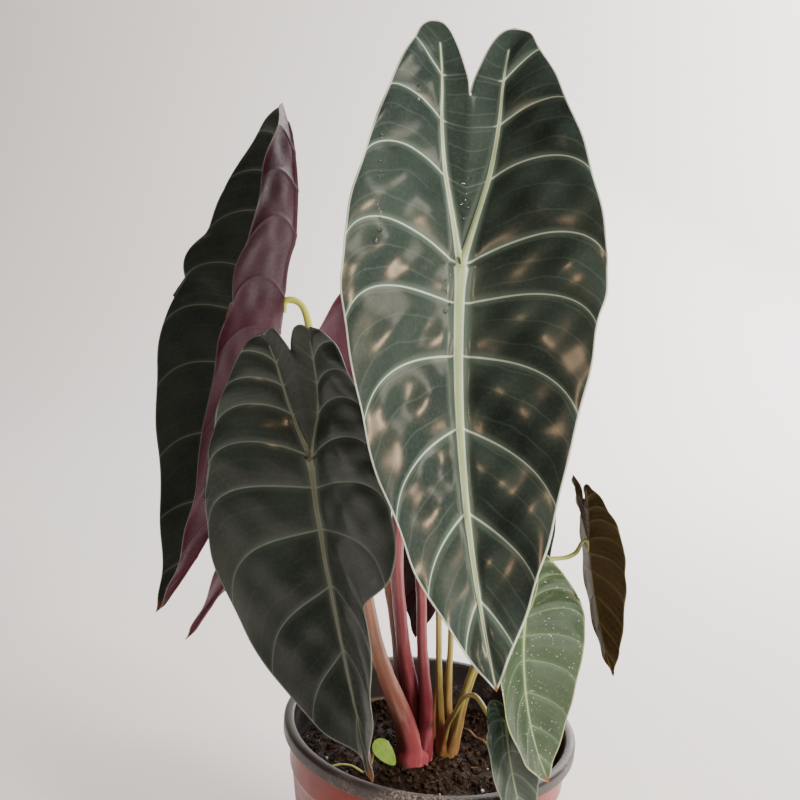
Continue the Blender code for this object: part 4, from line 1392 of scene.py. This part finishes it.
class ALOCASIA_OT_soil(bpy.types.Operator):
    """Fills the pot with soil and strews its top with bark, fibres and perlite."""

    bl_idname = "alocasia.soil"
    bl_label = "Soil"

    def execute(self, context):
        values = context.scene.alocasia_soil
        level = min(SOIL_Z, STEP_Z - 0.003)
        edge = wall_radius(level) - WALL + 0.0002
        rings = [
            (0.0, FLOOR + 0.002), (FOOT_R * 0.5, FLOOR + 0.002),
            (wall_radius(FLOOR + 0.004) - WALL - 0.0003, FLOOR + 0.004),
            (edge - 0.0006, SOIL_Z - 0.004),
        ]
        top = [(edge * k, SOIL_Z) for k in np.linspace(1.0, 0.0, 90)]
        soil = plain_mesh(turned_profile("soil_raw", rings + top, 240), "soil_fill")
        bm = bmesh.new()
        bm.from_mesh(soil.data)
        bmesh.ops.remove_doubles(bm, verts=bm.verts, dist=1e-6)
        bmesh.ops.recalc_face_normals(bm, faces=bm.faces)
        rng = np.random.default_rng(5)
        waves = [
            (rng.uniform(150, 1500), rng.uniform(0, 6.3), rng.uniform(0, 6.3))
            for _ in range(28)
        ]
        for v in bm.verts:
            if v.co.z > SOIL_Z - 0.0005:
                x, y = v.co.x, v.co.y
                rough = (
                    sum(
                        (
                            math.sin(k * (x * math.cos(a) + y * math.sin(a)) + p) * 300 / (k + 300)
                            for k, a, p in waves
                        ),
                    )
                    / 9
                )
                v.co.z = float(soil_height(x, y, values.mound)) + 0.0021 * rough
        bm.to_mesh(soil.data)
        bm.free()
        soil.data.materials.clear()
        soil.data.materials.append(soil_material())
        soil.data.shade_smooth()
        co = points_of(soil)
        radius = np.hypot(co[:, 0], co[:, 1])
        surface = (co[:, 2] > SOIL_Z - 0.0035) & (radius < edge - 0.001)
        tree = strew_tree()
        for name, density, shape, size, smallest, level, faces, lift, rough, seed, skin in (
            (
                "soil_chips", values.chips, (1.0, 0.74, 0.6), values.chip_size, 0.2, 0.1, 1, 0.0007,
                0.7, 3, ("bark_chips_composted", "110b08", "42342a", 0.92),
            ),
            (
                "soil_fibres", values.fibres, (2.6, 0.11, 0.11), values.chip_size, 0.35, 0.7, 1,
                0.0014, 0.5, 8, ("coir_fibres_dry", "2c1c10", "6e5236", 0.85),
            ),
            (
                "soil_perlite", values.perlite, (1.0, 0.85, 0.7), 0.0024, 0.35, 0.0, 2, 0.0012, 0.5,
                12, ("perlite_expanded", "a9a199", "e4dfd6", 0.9),
            ),
        ):
            ground = weighted_copy(soil, name + "_ground", surface)
            grains = run_tree(
                ground, tree,
                {
                    "Density": density, "Shape": shape, "Size": size, "Smallest": smallest,
                    "Flat": level, "Faces": faces, "Lift": lift, "Rough": rough, "Seed": seed,
                    "Skin": chip_material(*skin),
                },
                name,
            )
            keep(grains, "potting_mix")
        keep(soil, "potting_mix", "soil")
        return {"FINISHED"}


class ALOCASIA_OT_blades(bpy.types.Operator):
    """Grows the nine blades, with water drops on the largest and dust on the young one."""

    bl_idname = "alocasia.blades"
    bl_label = "Blades"

    def execute(self, context):
        values = context.scene.alocasia_leaves
        tree = bpy.data.node_groups.get("Strew")
        slots = {m["node"]: m["material_slot"] for m in frame["record"]["subparts"]}
        faces, backs = {}, {}
        for skins, prefix, palettes, rough in (
            (faces, "leaf_skin_", LEAF_FACES, values.gloss),
            (backs, "leaf_underside_", LEAF_BACKS, values.gloss + BACK_ROUGHER),
        ):
            for key, colors in palettes.items():
                thin = values.thin * (THINNER if key in ("young", "olive") else 1)
                skins[key] = leaf_material(prefix + key, colors, rough, thin)
        made = {}
        for key, shape in BLADES.items():
            b = {**PLAIN, **shape}
            obj = blade_piece("leaf_" + key, b)
            obj.data.materials.append(faces[b["finish"]])
            obj.data.materials.append(backs.get(b["finish"], backs["dark"]))
            made[key] = obj
            keep(obj, slots["blade_" + key], "blade_" + key)
        for key, name, density, size, shape, lift, smallest, skin in (
            (
                "front_large", "water_drops", values.drops, 0.0019, (1.0, 1.0, 0.62), 0.0003, 0.35,
                None,
            ),
            (
                "young_light", "dust_specks", values.dust, 0.0005, (1.0, 0.9, 0.5), 0.0, 0.4,
                ("perlite_dust", "cfcfc4", "f0f0ea", 0.9),
            ),
        ):
            obj = made[key]
            count = len(obj.data.vertices)
            data = np.empty(count * 3, np.float32)
            obj.data.attributes["flat"].data.foreach_get("vector", data)
            flat = data.reshape(-1, 3)
            on_top = np.zeros(count)
            on_top[: count // 2] = 1
            if key == "front_large":
                near = sum(
                    np.exp(-(((flat[:, 0] - x) / wide) ** 2) - (((flat[:, 1] - y) / high) ** 2))
                    for x, y, wide, high in DROP_RUNS
                )
                on_top = on_top * np.where(near > 0.15, near, 0)
            ground = weighted_copy(obj, name + "_ground", on_top)
            material = water_material() if skin is None else chip_material(*skin)
            grains = run_tree(
                ground, tree,
                {
                    "Density": density, "Shape": shape, "Size": size, "Smallest": smallest,
                    "Flat": 0.97, "Faces": 3 if skin is None else 1, "Lift": lift, "Rough": 0.1,
                    "Seed": 4, "Skin": material,
                },
                name,
            )
            grains.data.shade_smooth()
            keep(grains)
        return {"FINISHED"}


def water_material():
    """Clear water, standing in beads: smooth, with a hard small highlight."""
    made, tree = new_material("water_beads")
    shader = add(
        tree, "ShaderNodeBsdfPrincipled",
        inputs={
            "Base Color": linear("ffffff"), "Roughness": 0.03, "IOR": 1.33,
            "Transmission Weight": 1.0,
        },
    )
    add(tree, "ShaderNodeOutputMaterial", inputs={"Surface": shader.outputs[0]})
    return made


class ALOCASIA_OT_stalks(bpy.types.Operator):
    """Draws the stalks from the two clumps to their blades, and the clumps themselves."""

    bl_idname = "alocasia.stalks"
    bl_label = "Stalks"

    def execute(self, context):
        stalk_tree()
        skins = {
            "red": stalk_material("petiole_skin_red", "6a2a34", "70383e", "6e4538", "9c686c"),
            "tan": stalk_material("petiole_skin_tan", "7c3a42", "86604e", "8c8a66", "ab8a7c"),
            "green_top": stalk_material(
                "petiole_skin_green_top", "6a2a34", "744a3c", "a9b850", "a07a6c"
            ),
            "yellow": stalk_material("petiole_skin_yellow", "7a5a3a", "969052", "858e54", "bcb880"),
        }
        for key, stalk in STALKS.items():
            skin = stalk[-1]
            stem = draw_stalk("stem_" + key, stalk_path(key), skins[skin], 28, 0.0012, 0.025)
            keep(stem, "stalk_red" if skin != "yellow" else "stalk_yellow", "stalk_" + key)
        for name, centre, radius, height, lean, slot, node, skin in (
            (
                "crown_heel", CROWN, 0.0092, 0.015, 0.001, "stalk_red", "stem_base",
                stalk_material("crown_skin_red", "7a3540", "86404a", "76343e", "b0767c"),
            ),
            (
                "offset_heel", OFFSET, 0.0052, 0.01, -0.0005, "stalk_yellow", "offset_base",
                stalk_material("crown_skin_orange", "5e4630", "7a6238", "8a8450", "968256"),
            ),
        ):
            x, y, z = centre
            path = [
                (x, y, z - 0.009, radius * 0.75), (x, y, z + 0.001, radius * 1.04),
                (x + lean, y, z + height * 0.35, radius * 0.9),
                (x + 2 * lean, y, z + height * 0.8, radius * 0.58),
                (x + 2.2 * lean, y, z + height * 1.2, radius * 0.15),
            ]
            keep(draw_stalk(name, path, skin, 48, 0.0006, 0.035), slot, node)
        x, y = 0.0035, 0.022
        z = SOIL_Z - 0.001
        path = [
            (x, y, z, 0.0018), (x, y, z + 0.014, 0.0019), (x, y, z + 0.028, 0.0013),
            (x + 0.001, y - 0.001, z + 0.041, 0.0002),
        ]
        shoot = draw_stalk("shoot", path, skins["yellow"], 24, 0.0008, 0.03)
        keep(shoot, "stalk_yellow", "new_shoot")
        return {"FINISHED"}


class ALOCASIA_OT_small(bpy.types.Operator):
    """Grows the two seedlings and lays the twig on the soil."""

    bl_idname = "alocasia.small"
    bl_label = "Seedlings and twig"

    def execute(self, context):
        green = leaf_material(
            "seedling_skin",
            dict(
                deep="6f9a30", body="86b040", fleck="98bf52", halo_color="a9c968", vein="b5cf78",
                rib="b5cf78", rib_top="a6c860", margin="b5cf78", glow="b8e040", halo=0.3, net=0.05,
                minor=0.1, main=0.2, main_rib=0.5, border=0.2, dry=0.0,
            ),
            0.35, 0.3,
        )
        thread = stalk_material("seedling_stem_skin", "b9b070", "a9b868", "9fbf5a", "d5d49a")
        for name, at, turn, length, width, foot, bow in (
            (
                "seedling_front", (-0.0255, -0.0135, 0.0165), (12, 50, 38), 0.0145, 0.0085,
                (-0.0262, -0.0085), 0.0005,
            ),
            (
                "seedling_left", (-0.047, -0.029, 0.0095), (-20, 42, -80), 0.0072, 0.0066,
                (-0.029, -0.014), 0.003,
            ),
        ):
            at = spot(at)
            bm = bmesh.new()
            bmesh.ops.create_uvsphere(bm, u_segments=40, v_segments=24, radius=1.0)
            heading, lean, roll = (math.radians(angle) for angle in turn)
            attitude = (
                ((
                    (Matrix.Translation(at) @ Matrix.Rotation(heading, 4, "Z"))
                    @ Matrix.Rotation(lean, 4, "X")
                ))
                @ Matrix.Rotation(roll, 4, "Z")
            )
            flats = []
            for v in bm.verts:
                x, y, z = v.co
                flats.append((x * width / 2, (y - 1) * length / 2, 0.0))
                cup = 0.10 * width * (x * x - 0.3) + 0.06 * length * (y * y)
                v.co = (
                    attitude
                    @ Vector((
                        x * width / 2 * (1 + 0.35 * y), (y - 1) * length / 2, z * 0.0004 + cup
                    ))
                )
            mesh = bpy.data.meshes.new(name)
            bm.to_mesh(mesh)
            bm.free()
            flats = np.array(flats, np.float32)
            for key, columns in (
                (
                    "veins",
                    (
                        3.0 + flats[:, 1] / length * 3, np.full(len(flats), 1.5),
                        np.abs(flats[:, 0]) / 0.0003,
                    ),
                ),
                (
                    "place",
                    (
                        np.abs(flats[:, 0]) / width * 2, (width / 2 - np.abs(flats[:, 0])) / MM,
                        np.zeros(len(flats)),
                    ),
                ),
                ("flat", flats.T),
            ):
                data = mesh.attributes.new(key, "FLOAT_VECTOR", "POINT").data
                data.foreach_set("vector", np.column_stack(columns).astype(np.float32).ravel())
            mesh.materials.append(green)
            mesh.shade_smooth()
            leaf = placed(name + "_blade", mesh)
            keep(leaf, "seedling", name + "_leaf")
            low = np.array([*foot, SOIL_Z - 0.0005])
            middle = (low + at) / 2 + (0, 0, bow)
            path = [(*low, 0.0006), (*middle, 0.0005), (*at, 0.0004)]
            stem = draw_stalk(name + "_thread", path, thread, 12, 0.0008, 0.02)
            keep(stem, "seedling", name + "_stem")
        z = SOIL_Z + 0.0022
        path = [
            (0.018, 0.032, z, 0.0007), (0.022, 0.0275, z + 0.0013, 0.0009),
            (0.025, 0.022, z + 0.0012, 0.0008), (0.029, 0.017, z + 0.0017, 0.0009),
            (0.033, 0.01, z, 0.0007),
        ]
        wood = stalk_material("twig_bark", "4a3626", "6a523a", "7d6448", "96805e")
        keep(draw_stalk("twig_bit", path, wood, 12, 0.0006, 0.10), "twig", "twig")
        return {"FINISHED"}


class ALOCASIA_OT_stage(bpy.types.Operator):
    """Lays the floor and backdrop, and sets the lights and the camera."""

    bl_idname = "alocasia.stage"
    bl_label = "Stage"

    def execute(self, context):
        values = context.scene.alocasia_stage
        made, tree = new_material("paper_backdrop_matt")
        spots = add(tree, "ShaderNodeTexCoord", out="Object")
        broad = add(tree, NOISE, inputs={"Vector": spots, "Scale": 1.5, "Detail": 2.0}, out="Fac")
        tint = add(tree, MIX, COLOR, {0: broad, 6: linear("dcd9d7"), 7: linear("e6e4e3")}, 2)
        shader = add(
            tree, "ShaderNodeBsdfPrincipled", inputs={"Base Color": tint, "Roughness": 0.9}
        )
        add(tree, "ShaderNodeOutputMaterial", inputs={"Surface": shader.outputs[0]})
        profile = [(-STAGE_HALF, 0.0), (CURVE_Y, 0.0)]
        for a in np.linspace(0.1, math.pi / 2, 16):
            profile.append((CURVE_Y + CURVE_R * math.sin(a), CURVE_R - CURVE_R * math.cos(a)))
        profile.append((CURVE_Y + CURVE_R, STAGE_HALF))
        verts = [(x, y, z) for x in (-STAGE_HALF, STAGE_HALF) for y, z in profile]
        n = len(profile)
        mesh = bpy.data.meshes.new("backdrop")
        mesh.from_pydata(verts, [], [(i, i + n, i + n + 1, i + 1) for i in range(n - 1)])
        mesh.materials.append(made)
        mesh.shade_smooth()
        placed("backdrop", mesh)

        world = bpy.data.worlds.new("soft_room")
        context.scene.world = world
        world.use_nodes = True
        world.node_tree.nodes["Background"].inputs["Color"].default_value = linear("d2d0d0")
        world.node_tree.nodes["Background"].inputs["Strength"].default_value = values.fill

        leaf = Vector((0.0, -0.07, 0.25))
        wall = Vector((0.9, 1.6, 0.45))
        for name, way, far, size, power, color, target, glossy in (
            ("window", (0.8, -0.46, 0.4), 1.4, 0.5, values.key, "fff4ea", leaf, False),
            ("window_glint", (0.62, -0.2, 0.76), 1.4, 0.3, values.key * 0.1, "fff0dc", leaf, True),
            ("sun_patch", (0.64, -0.52, 0.52), 1.2, 0.1, values.key * 0.15, "ffd8ae", leaf, True),
            ("sun_high", (0.06, -0.82, 0.56), 1.2, 0.09, values.key * 0.055, "ffd8ae", leaf, True),
            (
                "sun_return", (-0.45, -0.62, 0.56), 1.2, 0.1, values.key * 0.055, "ffd0a4", leaf,
                True,
            ),
            ("room", (0.42, -0.9, 0.03), 1.2, 0.45, values.key * 0.13, "f2f0ee", leaf, True),
            ("back_soft", (0.4, 0.8, 0.42), 1.5, 0.7, values.key * 0.3, "f4f4f8", leaf, True),
            ("wall_wash", (0.2, -0.6, 0.75), 1.2, 0.6, values.key * 1.9, "fcfafa", wall, False),
        ):
            light = bpy.data.lights.new(name, "AREA")
            light.shape = "RECTANGLE"
            light.size = size
            light.size_y = size * 1.4
            light.energy = power
            light.color = linear(color)[:3]
            lamp = placed(name, light)
            lamp.visible_glossy = glossy
            place = target + Vector(way).normalized() * far
            lamp.location = place
            lamp.rotation_euler = (target - place).to_track_quat("-Z", "Y").to_euler()

        camera = bpy.data.cameras.new("camera")
        camera.lens = values.lens
        camera.sensor_width = 36.0
        camera.clip_start = 0.01
        eye = placed("camera", camera)
        pitch = Matrix.Rotation(math.radians(90 - EYE_DOWN), 4, "X")
        lean = Matrix.Rotation(math.radians(EYE_LEAN), 4, "Z")
        eye.matrix_world = Matrix.Translation(EYE) @ pitch @ lean
        context.scene.camera = eye
        return {"FINISHED"}


class ALOCASIA_PT_panel(bpy.types.Panel):
    """The alocasia's sizes, colours and pieces."""

    bl_label = "Potted Alocasia"
    bl_idname = "ALOCASIA_PT_panel"
    bl_space_type = "VIEW_3D"
    bl_region_type = "UI"
    bl_category = "Alocasia"

    def draw(self, context):
        scene = context.scene
        for group in (
            scene.alocasia_pot, scene.alocasia_soil, scene.alocasia_leaves, scene.alocasia_stage
        ):
            box = self.layout.box()
            for key in group.__annotations__:
                box.prop(group, key)
        for operator in STEPS:
            self.layout.operator(operator)


GROUPS = {
    "alocasia_pot": AlocasiaPot,
    "alocasia_soil": AlocasiaSoil,
    "alocasia_leaves": AlocasiaLeaves,
    "alocasia_stage": AlocasiaStage,
}
CLASSES = (
    *GROUPS.values(), ALOCASIA_OT_stage, ALOCASIA_OT_pot, ALOCASIA_OT_soil, ALOCASIA_OT_blades,
    ALOCASIA_OT_stalks, ALOCASIA_OT_small, ALOCASIA_PT_panel,
)
STEPS = (
    "alocasia.stage", "alocasia.pot", "alocasia.soil", "alocasia.blades", "alocasia.stalks",
    "alocasia.small",
)


def register():
    for kind in CLASSES:
        bpy.utils.register_class(kind)
    for name, kind in GROUPS.items():
        setattr(bpy.types.Scene, name, PointerProperty(type=kind))


def unregister():
    for name in GROUPS:
        delattr(bpy.types.Scene, name)
    for kind in reversed(CLASSES):
        bpy.utils.unregister_class(kind)


def main():
    register()
    for step in STEPS:
        group, name = step.split(".")
        getattr(getattr(bpy.ops, group), name)()


if __name__ == "__main__":
    main()
